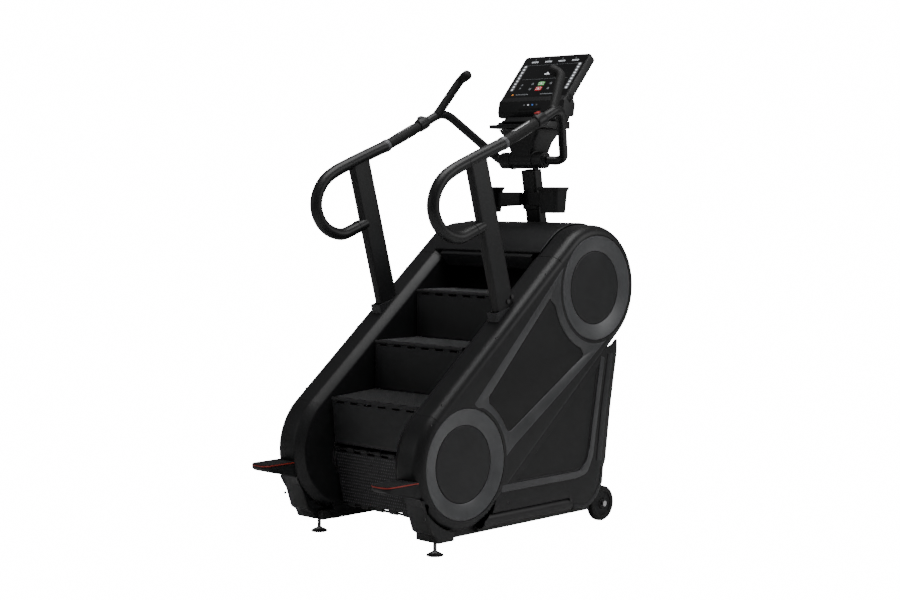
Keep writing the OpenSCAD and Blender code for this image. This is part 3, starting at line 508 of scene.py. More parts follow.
def slope_at(s, h):
    """(Y, Z) at distance s along the line of disc centres and height h above it."""
    return (lower[0] + s * ALONG[0] + h * RISE[0], lower[1] + s * ALONG[1] + h * RISE[1])


ACROSS = Matrix(((0, 0, 1, 0), (1, 0, 0, 0), (0, 1, 0, 0), (0, 0, 0, 1)))


def plate(name, outlines, low, high, material, edge=0.002, place=ACROSS, s=1, body="frame", steps=3):
    """Rounded-edge plate from closed outlines, holes allowed, between two heights of a local frame."""
    curve = bpy.data.curves.new(name, "CURVE")
    curve.dimensions, curve.fill_mode = "2D", "BOTH"
    curve.extrude, curve.offset = (high - low) / 2 - edge, -edge
    curve.bevel_depth, curve.bevel_resolution = edge, steps
    for outline in outlines:
        spline = curve.splines.new("POLY")
        spline.points.add(len(outline) - 1)
        for point, (a, b) in zip(spline.points, outline):
            point.co = (a, b, 0, 1)
        spline.use_cyclic_u = True
    holder = bpy.data.objects.new(name + "_outline", curve)
    bpy.context.scene.collection.objects.link(holder)
    bpy.context.view_layer.update()
    mesh = bpy.data.meshes.new_from_object(holder.evaluated_get(bpy.context.evaluated_depsgraph_get()))
    bpy.data.objects.remove(holder)
    mesh.transform(place @ Matrix.Translation((0, 0, (low + high) / 2)))
    verts = [v.co.copy() for v in mesh.vertices]
    faces = [list(p.vertices) for p in mesh.polygons]
    bpy.data.meshes.remove(mesh)
    return finish_mesh(name, sided(s, verts), faces, material, body, 28.0)


def soft_outline(points, radius, n=5):
    """Outline with its corners rounded; radius is one number or one for each corner."""
    radii = radius if isinstance(radius, list) else [radius] * len(points)
    out = []
    for i, point in enumerate(points):
        c, a, b = Vector(point), Vector(points[i - 1]), Vector(points[(i + 1) % len(points)])
        u, w = (a - c).normalized(), (b - c).normalized()
        turn = u.angle(w)
        if radii[i] <= 0 or turn > 3.1:
            out.append(tuple(c))
            continue
        reach = min(radii[i] / math.tan(turn / 2), (a - c).length * 0.48, (b - c).length * 0.48)
        r = reach * math.tan(turn / 2)
        centre = c + (u + w).normalized() * (r / math.sin(turn / 2))
        v0, v1 = c + u * reach - centre, c + w * reach - centre
        full = v0.angle(v1)
        for k in range(n + 1):
            f = k / n
            p = centre + (v0 * math.sin((1 - f) * full) + v1 * math.sin(f * full)) / math.sin(full)
            out.append((p.x, p.y))
    return out


def smooth_line(points, per=6):
    """Catmull-Rom curve through points."""
    points = [Vector(p) for p in points]
    ends = [2 * points[0] - points[1]] + points + [2 * points[-1] - points[-2]]
    out = []
    for i in range(1, len(ends) - 2):
        p0, p1, p2, p3 = ends[i - 1:i + 3]
        for k in range(per):
            f = k / per
            out.append(0.5 * (2 * p1 + (p2 - p0) * f + (2 * p0 - 5 * p1 + 4 * p2 - p3) * f * f
                              + (3 * p1 - p0 - 3 * p2 + p3) * f ** 3))
    return out + [points[-1]]


SIDES = ((1, "right"), (-1, "left"))
deg_slope = math.degrees(slope)

# ---------------------------------------------------------------- housings
SEAMS = (0.918, 0.0)


def housing_profile():
    """(radius, x) from the inner wall over the crest to the outer face."""
    inner = [(0.228, 0.2625), (0.2325, 0.2632), (0.236, 0.2655)]
    crest = [(0.2565, 0.2962), (0.2586, 0.2998), (0.2597, 0.3035), (HOUSING_R, 0.308), (HOUSING_R, 0.340)]
    quarter = ring_points((0.0, 0.0), 1.0, 0, 90, 12)
    soft = [(HOUSING_R - EDGE_REACH * (1 - c), EDGE_START + EDGE_DEPTH * s) for c, s in quarter]
    return inner + crest + soft


def housing(s, side):
    profile = housing_profile()
    stations = [(lower, deg_slope + 90 + 180 * k / 64, 0.0, 0.0) for k in range(65)]
    stations += [(upper, deg_slope - 90 + 180 * k / 64, 0.0, 0.0) for k in range(65)]
    for seam in SEAMS:
        for off, cut in ((0.0016, 0.0), (0.0008, 0.0013), (-0.0008, 0.0013), (-0.0016, 0.0)):
            if seam + off > 0:
                stations.append((lower, deg_slope + 90, seam + off, cut))
    verts, faces, n, m = [], [], len(stations), len(profile)
    for base, angle, s_at, cut in stations:
        a = math.radians(angle)
        y0, z0 = base[0] + s_at * ALONG[0], base[1] + s_at * ALONG[1]
        for j, (r, x) in enumerate(profile):
            tuck = cut if 2 < j < m - 2 else 0.0
            inward = tuck * (0.7 if j > 7 else -0.4)
            verts.append(Vector((x - inward, y0 + (r - tuck) * math.cos(a), z0 + (r - tuck) * math.sin(a))))
    for i in range(n):
        k = (i + 1) % n
        faces += [[i * m + j, i * m + j + 1, k * m + j + 1, k * m + j] for j in range(m - 1)]
    faces.append([i * m for i in range(n)])
    # Flat outer face round the discs and the frame of the inlay
    x_face = profile[-1][1]
    loops = [[(verts[i * m + m - 1].y, verts[i * m + m - 1].z) for i in range(n)]]
    loops += [ring_points(centre, DISC_EDGE, 0, 360, AROUND)[:-1] for centre in (lower, upper)]
    loops.append(inlay_edges()[0][::-1])
    start = len(verts)
    verts += [Vector((x_face, y, z)) for loop in loops for y, z in loop]
    triangles = tessellate_polygon([[Vector((y, z, 0.0)) for y, z in loop] for loop in loops])
    faces += [[start + i for i in tri] for tri in triangles]
    # Lips that turn in behind the flat face at the discs
    at = start + len(loops[0])
    for loop in loops[1:3]:
        back = len(verts)
        verts += [Vector((x_face - 0.020, y, z)) for y, z in loop]
        faces += [[at + k, at + (k + 1) % AROUND, back + (k + 1) % AROUND, back + k] for k in range(AROUND)]
        at += AROUND
    return finish_mesh("housing_" + side, sided(s, verts), faces, HOUSING, angle=32.0)


def matched(runs, n):
    """One closed outline from runs, with n points spread evenly along each."""
    return [tuple(p) for run in runs for p in resample(run, n)]


def between(edge_a, edge_b, f):
    """Outline a share f of the way from one matching outline to the other."""
    return [(a[0] * (1 - f) + b[0] * f, a[1] * (1 - f) + b[1] * f) for a, b in zip(edge_a, edge_b)]


def inlay_edges(n=24):
    """Outer and inner edge of the frame round the inlay, four matching runs of n points each."""
    outer_runs = [
        [(-0.274, 0.584), (0.251, 1.094)],
        ring_points(upper, 0.2325, 156.8, 284.7, 20),
        [(0.524, 0.779), (0.42, 0.704), (-0.05, 0.394), (-0.089, 0.360)],
        [(-0.089, 0.360)] + ring_points(lower, 0.2325, 14, 66, 12)
        + [(-0.247, 0.565), (-0.262, 0.570), (-0.274, 0.584)],
    ]
    inner_runs = [
        [(-0.172, 0.617), (0.176, 0.972)],
        [(0.176, 0.972)] + ring_points(upper, 0.263, 194.5, 249, 14) + [(0.385, 0.730), (0.381, 0.719)],
        [(0.381, 0.719), (-0.056, 0.458)],
        [(-0.056, 0.458), (-0.066, 0.455), (-0.074, 0.456)] + ring_points(lower, 0.263, 25.9, 58.4, 12)
        + [(-0.187, 0.600), (-0.182, 0.610), (-0.172, 0.617)],
    ]
    return matched(outer_runs, n), matched(inner_runs, n)


def inlay(s, side):
    edges = inlay_edges()
    levels = [(0.0, outer_x - 0.0005), (0.03, outer_x - 0.0002), (0.07, outer_x - 0.0001),
              (0.93, outer_x - 0.0060), (0.97, outer_x - 0.0065), (1.0, outer_x - 0.0074),
              (1.0, outer_x - 0.0105)]
    rings = [[Vector((x, y, z)) for y, z in between(*edges, f)] for f, x in levels]
    loft("inlay_frame_" + side, rings, BEVEL, s, caps=False, angle=50.0)
    plate("inlay_panel_" + side, [between(*edges, 1.0)], outer_x - 0.0135, outer_x - 0.0095, INLAY, 0.0004,
          s=s)


def disc(name, centre, s):
    """Dished disc with a lighter outer ring and a groove round its flat middle."""
    depths = [(DISC_EDGE, 0.0200), (DISC_EDGE, 0.0075), (0.2172, 0.0075), (0.2172, 0.0030), (0.2166, 0.0016),
              (0.2152, 0.0010), (0.2135, 0.0012), (0.1555, 0.0136), (0.1540, 0.0142), (0.1530, 0.0150),
              (0.1525, 0.0175), (0.1510, 0.0175), (0.1505, 0.0150), (0.1490, 0.0142), (0.1460, 0.0140),
              (0.0, 0.0136)]
    ring = [(r, outer_x - depth) for r, depth in depths]
    # The gap at the disc's edge and the groove round its middle take the near-black material: painted shade
    pick = [2, 2, 2, 0, 0, 0, 0, 0, 0, 2, 2, 2, 1, 1, 1]
    turned(name, ring, centre, None, s, n=AROUND, mats=[DISC_RING, DISC, SHADE_BLACK], pick=pick, angle=25.0)


for s, side in SIDES:
    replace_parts(housing(s, side), "shroud_" + side)
    inlay(s, side)
    disc("lower_disc_" + side, lower, s)
    disc("upper_disc_" + side, upper, s)
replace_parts(bpy.data.objects["inlay_frame_right"], "inlay_panels")
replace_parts(bpy.data.objects["lower_disc_right"], "lower_disc_covers")
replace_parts(bpy.data.objects["upper_disc_right"], "upper_disc_covers")


def face_x(y, z):
    """X of the housing's outer face at (Y, Z)."""
    along = (y - lower[0]) * ALONG[0] + (z - lower[1]) * ALONG[1]
    base = slope_at(min(run, max(0.0, along)), 0.0)
    f = max(0.0, min(1.0, 1 - (HOUSING_R - math.dist(base, (y, z))) / EDGE_REACH))
    return EDGE_START + EDGE_DEPTH * math.sqrt(1 - f * f)


def screw(name, s, x, y, z, r=0.0042):
    """Button screw with a hexagon socket, facing +X."""
    profile = [(r + 0.0012, x - 0.004), (r + 0.0012, x - 0.0002), (r + 0.0003, x - 0.0002), (r, x + 0.0006),
               (r * 0.75, x + 0.0016), (r * 0.5, x + 0.0018), (r * 0.45, x - 0.0012), (0.0, x - 0.0012)]
    # The head's underside and foot and the hexagon socket are near-black: painted shade
    turned(name, profile, (y, z), None, s, n=20, mats=[DARK_STEEL, SHADE_BLACK], pick=[1, 1, 1, 0, 0, 1, 1])


SCREWS = [(0.465, 1.240), (0.238, 1.131), (0.157, 1.067), (-0.135, 0.827), (-0.431, 0.590), (-0.500, 0.520)]
COVER_SCREWS = [(-0.5380, 0.168, 0.4085), (-0.079, 0.173, 0.4135), (0.194, 0.490, 0.4085),
                (0.194, 0.463, 0.4085), (0.470, 0.196, 0.4135)]
for s, side in SIDES:
    spots = [(y, z, face_x(y, z) - 0.0016) for y, z in SCREWS] + COVER_SCREWS
    for k, (y, z, x) in enumerate(spots):
        screw("side_screw_%s_%d" % (side, k), s, x, y, z)

# ---------------------------------------------------------------- side covers, rear, hood
COVER_EDGE = 0.2608


def below_line(s_at):
    return slope_at(s_at, -COVER_EDGE)


def cover_edges(n=40):
    """Outer edge of the side cover and edge of its recess, four matching runs of n points each."""
    low, corner, heel, peak = (-0.1680, 0.1404), (0.478, 0.128), (0.603, 0.726), below_line(0.985)
    outer_runs = [
        [peak, below_line(0.0), low],
        [low, (0.310, 0.1404), (0.316, 0.136), (0.316, 0.0950), (0.322, 0.0885), (0.345, 0.0810),
         (0.385, 0.0790), (0.440, 0.0970), corner],
        [corner, (0.5010, 0.1600), (0.5105, 0.1820), (0.5175, 0.2500), (0.5300, 0.2680), (0.5620, 0.5000),
         heel],
        [heel, (0.6036, 0.7600), peak],
    ]
    foot, turn, top, tip = (-0.128, 0.252), (0.372, 0.260), (0.478, 0.702), (0.446, 0.716)
    inner_runs = [
        [tip, foot],
        [foot, (0.310, 0.252), (0.345, 0.2545), turn],
        [turn, (0.392, 0.276), (0.406, 0.303), (0.420, 0.352), top],
        [top, (0.470, 0.712), (0.458, 0.716), tip],
    ]
    return matched(outer_runs, n), matched(inner_runs, n)


def side_cover(s, side):
    edges = cover_edges()
    levels = [(0.0, -0.0160), (0.0, -0.0045), (0.008, -0.0030), (0.022, -0.0022), (0.45, -0.0024),
              (0.62, -0.0028), (0.86, -0.0040), (0.95, -0.0050), (0.99, -0.0060), (1.0, -0.0066),
              (1.0, -0.0130)]
    rings = [[Vector((outer_x + x, y, z)) for y, z in between(*edges, f)] for f, x in levels]
    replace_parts(loft("side_cover_%s_shell" % side, rings, SIDE, s, caps=False, angle=40.0),
                "side_cover_" + side)
    slab("side_cover_%s_panel" % side, between(*edges, 0.98), outer_x - 0.0150, outer_x - 0.0075, INLAY, 0.0,
         s=s)
    slab("side_cover_%s_back" % side, between(*edges, 0.02), outer_x - 0.0160, outer_x - 0.0140, SIDE, 0.0,
         s=s)
    # Raised strip along the foot of the recess, sweeping up at the rear
    strip = soft_outline([(-0.120, 0.218), (0.335, 0.218), (0.408, 0.230), (0.446, 0.300), (0.518, 0.706),
                          (0.494, 0.716), (0.424, 0.340), (0.404, 0.284), (0.366, 0.2475), (0.330, 0.2455),
                          (-0.114, 0.2455)],
                         [0.004, 0.06, 0.05, 0.05, 0.003, 0.003, 0.05, 0.05, 0.03, 0.03, 0.004], 8)
    plate("side_cover_%s_strip" % side, [strip], outer_x - 0.008, outer_x - 0.0004, BEVEL, 0.0012, s=s)
    # Raised rear column; the groove along its front is a near-black sheet of painted shade
    groove = [(0.4700, 0.276), (0.5010, 0.500), (0.5440, 0.722)]
    rear = [(0.5262, 0.272), (0.5580, 0.500), (0.5990, 0.722)]
    bulge = [(0.0, -0.0050), (0.0, -0.0026), (0.02, -0.0016), (0.06, -0.0008), (0.18, -0.0004),
             (0.45, -0.0010), (0.70, -0.0034), (0.86, -0.0066), (0.96, -0.0100), (1.0, -0.0140),
             (1.0, -0.0200), (0.0, -0.0200)]
    rings = [[Vector((outer_x + x, a.x * (1 - f) + b.x * f, a.y * (1 - f) + b.y * f)) for f, x in bulge]
             for a, b in zip(resample(groove, 12), resample(rear, 12))]
    # The column's lighter grey is a painted highlight
    loft("side_cover_%s_column" % side, rings, COLUMN_HIGHLIGHT, s, angle=40.0)
    # Near-black sheet in the groove: painted shade
    seam = [(y - 0.0040, z) for y, z in groove] + [(y + 0.0006, z) for y, z in reversed(groove)]
    slab("side_cover_%s_groove" % side, seam, outer_x - 0.008, outer_x - 0.0014, SHADE_BLACK, 0.0, s=s)
    arch = soft_outline([(0.322, 0.0955), (0.384, 0.0845), (0.436, 0.1010), (0.472, 0.1310), (0.5030, 0.1800),
                         (0.5115, 0.2480), (0.5020, 0.2480), (0.4900, 0.1840), (0.462, 0.1420),
                         (0.430, 0.1150), (0.384, 0.0985), (0.324, 0.1095)],
                        [0.003, 0.05, 0.05, 0.05, 0.05, 0.004, 0.004, 0.05, 0.05, 0.05, 0.05, 0.003], 6)
    # The fairing's lighter grey is a painted highlight
    plate("wheel_fairing_%s" % side, [arch], outer_x - 0.006, outer_x - 0.0004, COLUMN_HIGHLIGHT, 0.0018, s=s)
    # Inner flank of the rear corner
    flank = soft_outline([(0.470, 0.130), (0.5095, 0.178), (0.5185, 0.250), (0.5620, 0.500), (0.6030, 0.726),
                          (0.590, 0.740), (0.548, 0.500), (0.506, 0.262), (0.490, 0.190)], 0.006, 4)
    plate("rear_flank_%s" % side, [flank], 0.330, outer_x - 0.0158, SIDE, 0.002, s=s)


for s, side in SIDES:
    side_cover(s, side)

hood_lo, hood_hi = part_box("hood")


def hood():
    """Cap over the upper turn, from the landing edge down the rear."""
    outer_r, inner_r = 0.2685, 0.2612
    front = run - 0.085
    over = ring_points(upper, outer_r, deg_slope + 90, -62, 40)
    over = [p for p in over if p[1] > 0.766 or p[0] < upper[0]]
    under = [(upper[0] + (p[0] - upper[0]) * inner_r / outer_r,
              upper[1] + (p[1] - upper[1]) * inner_r / outer_r) for p in over]
    outline = [slope_at(front, inner_r), slope_at(front, outer_r - 0.002),
               slope_at(front + 0.004, outer_r)] + over + under[::-1]
    return plate("hood_shell", [outline], hood_lo.x, hood_hi.x, HOOD, 0.003, steps=4)


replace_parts(hood(), "hood")
# Landing between the housings: sloping apron and the lip over the top step
apron = [slope_at(run - 0.110, 0.190), slope_at(run - 0.105, 0.2575), slope_at(run + 0.02, 0.2600),
         slope_at(run + 0.02, 0.248), slope_at(run - 0.094, 0.244), slope_at(run - 0.098, 0.190)]
plate("landing_lip", [soft_outline(apron, 0.003, 3)], -0.2618, 0.2618, RISER, 0.0015)

# ---------------------------------------------------------------- legs and pegs
for s, side in SIDES:
    leg = [(-0.5640, 0.2465), (-0.5500, 0.2360), (-0.5190, 0.1440), (-0.5070, 0.1080), (-0.4830, 0.0930),
           (-0.4700, 0.0625), (-0.3800, 0.0625), (-0.3800, 0.0930)]
    leg_soft = soft_outline(leg, [0.0, 0.008, 0.05, 0.02, 0.015, 0.01, 0.006, 0.0], 6)
    arc_edge = ring_points(lower, 0.2604, 257, 204.5, 20)
    piece = plate("leg_cover_" + side, [leg_soft + arc_edge], 0.303, 0.4095, HOUSING, 0.005, s=s, steps=4)
    if s > 0:
        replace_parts(piece, "leg_covers")


def peg(s, side):
    x_mid, half, tip, back = 0.352, 0.050, -0.734, -0.555
    rings = []
    for k in range(15):
        f = k / 14
        y = tip + (back - tip) * (1 - math.cos(f * math.pi / 2))
        d = min(1.0, (y - tip) / 0.036)
        w = half - 0.034 * (1 - math.sqrt(max(0.0, 1 - (1 - d) ** 2)))
        top = 0.3058
        low = 0.2885 - 0.0415 * min(1.0, max(0.0, (y - tip - 0.004) / 0.165)) + 0.010 * (1 - d) ** 2
        h = top - low
        rings.append([Vector((x_mid + a, y, (top + low) / 2 + b))
                      for a, b in rounded_rect(2 * w, h, min(0.007, h * 0.45), 4)])
    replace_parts(loft("peg_body_" + side, rings, PEG, s), "step_peg_" + side)

    def plan(w, front, r):
        corners = [(x_mid - w, back), (x_mid - w, front), (x_mid + w, front), (x_mid + w, back)]
        return soft_outline(corners, [0.001, r, r, 0.001], 8)

    flat = Matrix.Identity(4)
    stripe = plate("peg_stripe_" + side, [plan(half + 0.0004, tip + 0.0004, 0.034)], 0.3056, 0.3105, RED,
                   0.0008, flat, s)
    plate("peg_top_" + side, [plan(half - 0.0012, tip + 0.002, 0.033)], 0.3100, 0.3140, PEG, 0.0012, flat, s)
    return stripe


stripes = [peg(s, side) for s, side in SIDES]
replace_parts(stripes[0], "peg_pads")


def studs(name, places, up, body, material, r, h):
    """Low round studs: places are points, up the surface normal at them."""
    verts, faces = [], []
    up = Vector(up).normalized()
    u = Vector((1, 0, 0)) if abs(up.x) < 0.9 else Vector((0, 1, 0))
    w = up.cross(u)
    for p in places:
        base = len(verts)
        for ring_r, rise in ((r, -0.0002), (r * 0.92, h * 0.6), (r * 0.55, h)):
            verts += [Vector(p) + up * rise + u * a + w * b for a, b in circle(ring_r, 8)]
        faces += ring_faces(3, 8, base)
        faces.append([base + 16 + k for k in range(8)])
        faces.append([base + 7 - k for k in range(8)])
    return finish_mesh(name, verts, faces, material, body, 60.0)


for s, side in SIDES:
    grid = [(i, j, 0.310 + 0.0105 * i + (0.005 if j % 2 else 0)) for i in range(9) for j in range(15)]
    spots = [(s * x, -0.722 + 0.0105 * j, 0.3140) for i, j, x in grid
             if x < 0.397 and not (j < 2 and i in (0, 8))]
    studs("peg_studs_" + side, spots, (0, 0, 1), "frame", PEG, 0.0028, 0.0012)

# ---------------------------------------------------------------- handrails
RAIL_X = 0.337
# Height of the rail's line over the upright's head, and the rail's rise per metre there
RAIL_OVER_POST = 1.5352
RAIL_GRADE = 0.3640
RING_AT = Vector((RAIL_X, -0.032, 1.592))
GRIP_TILT = math.radians(23.9)
GRIP_WAY = Vector((0, math.cos(GRIP_TILT), math.sin(GRIP_TILT)))
RAIL_LINE = [(-0.032, 1.592), (-0.120, 1.5605), (-0.225, 1.5215), (-0.315, 1.4850), (-0.372, 1.4500),
             (-0.409, 1.4020), (-0.4225, 1.3480), (-0.4090, 1.2970), (-0.3750, 1.2560), (-0.3280, 1.2320),
             (-0.2780, 1.2250), (-0.2270, 1.2400), (-0.1500, 1.2690)]


def grip_at(d, up=0.0, side=0.0):
    return RING_AT + GRIP_WAY * d + Vector((side, -GRIP_WAY.z * up, GRIP_WAY.y * up))


def handrail(s, side):
    line = smooth_line([Vector((RAIL_X, y, z)) for y, z in RAIL_LINE], 6)
    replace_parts(tube("rail_tube_" + side, line, 0.0250, COATED, s, n=36), "handrail_" + side)
    foot, head = Vector((0, -0.026, 0.930)), Vector((0, -0.188, 1.530))
    lean = (head - foot).normalized()
    fore = Vector((0, lean.z, -lean.y))
    rings = []
    for f in (0.0, 0.5, 1.0):
        ring = []
        for a, b in rounded_rect(0.038, 0.108, 0.0155, 8):
            start = foot + fore * b
            # Meets the rail on the rail's own line
            over = RAIL_OVER_POST + RAIL_GRADE * (start.y - head.y) - start.z
            rise = over / (lean.z - RAIL_GRADE * lean.y)
            p = (start - lean * 0.030).lerp(start + lean * (rise - 0.004), f)
            ring.append(Vector((RAIL_X + a, p.y, p.z)))
        rings.append(ring)
    loft("upright_" + side, rings, COATED, s)
    # Weld beads where the rail meets the upright
    way = Vector((0, 0.94, 0.34)).normalized()
    for k, (y, z, far, near) in enumerate(((-0.188, 1.533, 0.054, 0.050), (-0.152, 1.2685, 0.045, 0.038))):
        mid = Vector((RAIL_X, y, z))
        tube("weld_%s_%d" % (side, k), [mid - way * far, mid - way * near], 0.0262, COATED, s, n=32)


for s, side in SIDES:
    handrail(s, side)
    # Collar ring, grip with contact strips, pod
    rings = [(-0.006, 0.0255), (-0.004, 0.0268), (0.010, 0.0268), (0.0145, 0.0258), (0.0155, 0.0225)]
    piece = tube("collar_" + side, [grip_at(d) for d, r in rings], [r for d, r in rings], RING, s, n=40)
    if s > 0:
        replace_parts(piece, "rail_collars")
    swell = [(0.014, 0.0205), (0.017, 0.0224), (0.030, 0.0230), (0.10, 0.0233), (0.19, 0.0230),
             (0.208, 0.0226), (0.213, 0.0205)]
    piece = tube("grip_" + side, [grip_at(d) for d, r in swell], [r for d, r in swell], GRIP, s, n=40)
    if s > 0:
        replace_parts(piece, "hand_grips")
    for k, up in enumerate((1, -1)):
        rings = []
        for i in range(15):
            d = 0.066 + 0.118 * i / 14
            tip = min(1.0, min(i, 14 - i) / 2.0 + 0.25)
            ring = []
            for r, sweep in ((0.02425, range(-5, 6)), (0.0222, range(5, -6, -1))):
                for j in sweep:
                    a = math.radians(90 * up + j * 5.0 * tip)
                    ring.append(grip_at(d, r * math.sin(a), r * math.cos(a)))
            rings.append(ring)
        piece = loft("contact_%s_%d" % (side, k), rings, CONTACT, s, angle=50)
        if s > 0 and k == 0:
            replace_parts(piece, "pulse_contacts")
    pod = [(0.2125, 0.0215, 0.0), (0.2140, 0.0250, 0.0), (0.2180, 0.0262, 0.0025), (0.2300, 0.0265, 0.0060),
           (0.2500, 0.0265, 0.0062), (0.2600, 0.0262, 0.0040), (0.2665, 0.0250, 0.0010),
           (0.2685, 0.0205, 0.0)]
    rings = []
    for d, r, hump in pod:
        rings.append([grip_at(d, (r + hump * max(0.0, up) ** 3) * up, r * across)
                      for across, up in circle(1.0, 40)])
    piece = loft("pod_" + side, rings, CONSOLE, s, angle=40)
    if s > 0:
        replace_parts(piece, "control_pods")
    key_place = Matrix.Translation(grip_at(0.240)) @ Matrix.Rotation(GRIP_TILT, 4, "X")
    key_colour = POD_RED if s > 0 else POD_GREY
    key = plate("pod_key_cap_" + side, [rounded_rect(0.021, 0.023, 0.005, 6)], 0.0290, 0.0358, key_colour,
                0.0012, key_place, s, "pod_key_" + side)
    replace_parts(key, "pod_key_" + side)
    for k, d in enumerate((-0.020, -0.036)):
        p = grip_at(d, 0.0, 0.0245)
        screw("rail_screw_%s_%d" % (side, k), s, p.x, p.y, p.z, 0.0030)


def forward_handle(s, side):
    end = grip_at(0.266)
    corner, low, clamp = (RAIL_X - 0.001, 0.320, 1.750), (0.178, 0.527, 1.529), (0.124, 0.476, 1.534)
    line = rounded_path([end, corner, low, clamp], [0.070, 0.036], 10)
    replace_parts(tube("forward_handle_" + side, line, 0.0190, COATED, s, n=32), "fork_handle_" + side)
    knee = Vector((0.290, 0.379, 1.887))
    root, tip = Vector((0.336, 0.268, 1.722)), Vector((0.246, 0.374, 1.906))
    line = rounded_path([root, knee, tip], [0.034], 10)
    radii = [0.0190] * (len(line) - 3) + [0.0205, 0.0215, 0.0220]
    tube("handle_tip_" + side, line, radii, GRIP, s, n=32, dome=True)
    joint = line[0] + (line[1] - line[0]).normalized() * 0.016
    tube("handle_weld_" + side, [joint, joint + (line[1] - line[0]).normalized() * 0.006], 0.0200, COATED, s)


for s, side in SIDES:
    forward_handle(s, side)

barrel = centre_of("barrel_clamp")
half = [(0.0, 0.1275), (0.018, 0.1275), (0.0225, 0.1265), (0.0245, 0.1245), (0.0250, 0.1222),
        (0.0335, 0.1218), (0.0352, 0.1205), (0.0358, 0.1180), (0.0358, 0.0720), (0.0350, 0.0715),
        (0.0350, 0.0700), (0.0358, 0.0695), (0.0358, 0.0685), (0.0388, 0.0680), (0.0396, 0.0670),
        (0.0396, 0.0610), (0.0388, 0.0600), (0.0358, 0.0595)]
both_halves = half + [(r, -x) for r, x in half[::-1]]
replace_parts(turned("clamp_barrel", both_halves, barrel, COATED, n=64), "barrel_clamp")

# ---------------------------------------------------------------- mast, neck, console
mast_foot, mast_head = Vector((0, 0.562, 1.235)), Vector((0, 0.517, 1.497))
mast_way = (mast_head - mast_foot).normalized()
mast_fore = Vector((0, mast_way.z, -mast_way.y))


def mast_ring(lift, w, d, r):
    centre = mast_foot + mast_way * lift
    return [centre + mast_fore * b + Vector((a, 0, 0)) for a, b in rounded_rect(w, d, r, 8)]


mast_tube = [mast_ring(lift, 0.080, 0.058, 0.014) for lift in (-0.008, 0.13, 0.262)]
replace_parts(loft("mast_tube", mast_tube, COATED), "mast")
boot_rows = [(0.002, 0.106, 0.082), (0.008, 0.105, 0.081), (0.020, 0.099, 0.076), (0.0265, 0.095, 0.072),
             (0.029, 0.090, 0.067), (0.029, 0.080, 0.058)]
boot = [mast_ring(lift, w, d, 0.014) for lift, w, d in boot_rows]
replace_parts(loft("mast_boot", boot, BOOT, caps=False), "mast_collar")


def box_ring(y0, y1, z0, z1, half_w, r, n=6):
    """Rounded ring between a front point and a rear point, half_w to each side."""
    front, back = Vector((0, y0, z0)), Vector((0, y1, z1))
    mid, way = (front + back) / 2, (back - front)
    outline = rounded_rect(2 * half_w, way.length, r, n)
    return [mid + way.normalized() * b + Vector((a, 0, 0)) for a, b in outline]


neck_rows = [(0.452, 0.552, 1.512, 1.500, 0.050, 0.014), (0.446, 0.560, 1.530, 1.522, 0.056, 0.016),
             (0.441, 0.573, 1.572, 1.568, 0.060, 0.018), (0.438, 0.582, 1.610, 1.612, 0.076, 0.020),
             (0.434, 0.588, 1.640, 1.640, 0.098, 0.020), (0.427, 0.591, 1.660, 1.660, 0.112, 0.018),
             (0.425, 0.592, 1.667, 1.667, 0.113, 0.017)]
neck = [box_ring(*row) for row in neck_rows]
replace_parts(loft("neck_column", neck, CONSOLE), "console_neck")
tray = soft_outline([(0.409, 1.6875), (0.412, 1.6715), (0.600, 1.6680), (0.600, 1.7000), (0.470, 1.7000),
                     (0.452, 1.6830), (0.424, 1.6790), (0.4175, 1.6885)], 0.003, 4)
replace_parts(plate("tray_shelf", [tray], -0.150, 0.150, CONSOLE, 0.003, steps=4), "console_tray")
steps_shelf = soft_outline([(0.452, 1.698), (0.590, 1.698), (0.600, 1.722), (0.500, 1.722), (0.488, 1.712),
                            (0.462, 1.708)], 0.003, 4)
plate("tray_riser", [steps_shelf], -0.120, 0.120, CONSOLE, 0.003, steps=4)

glass_lo, glass_hi = Vector((0, 0.517, 1.789)), Vector((0, 0.696, 1.996))
up_glass = (glass_hi - glass_lo).normalized()
out_glass = Vector((0, -up_glass.z, up_glass.y))
glass_len = (glass_hi - glass_lo).length


def tilted_plane(up, out, origin):
    """Local frame with its X across the machine, its Y along up and its Z along out."""
    return Matrix(((1, 0, 0, 0), (0, up.y, out.y, origin.y), (0, up.z, out.z, origin.z), (0, 0, 0, 1)))


SCREEN = tilted_plane(up_glass, out_glass, glass_lo)


def on_screen(w, h, a, b, r, n=5):
    return [(a + x, b + y) for x, y in rounded_rect(w, h, r, n)]


mid_b = glass_len / 2
shell = plate("console_back", [on_screen(0.376, glass_len, 0, mid_b, 0.014, 8)], -0.0385, -0.0008, CONSOLE,
              0.004, SCREEN, steps=5)
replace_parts(shell, "console_shell")
rim = [on_screen(0.372, glass_len - 0.004, 0, mid_b, 0.013, 8),
       on_screen(0.3600, glass_len - 0.016, 0, mid_b, 0.008, 8)]
plate("console_rim", rim, -0.0030, 0.0004, CONSOLE, 0.0010, SCREEN)
glass = on_screen(0.3596, glass_len - 0.0164, 0, mid_b, 0.0078, 8)
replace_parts(plate("display_glass", [glass], -0.0030, -0.0004, GLASS, 0.0005, SCREEN), "console_glass")
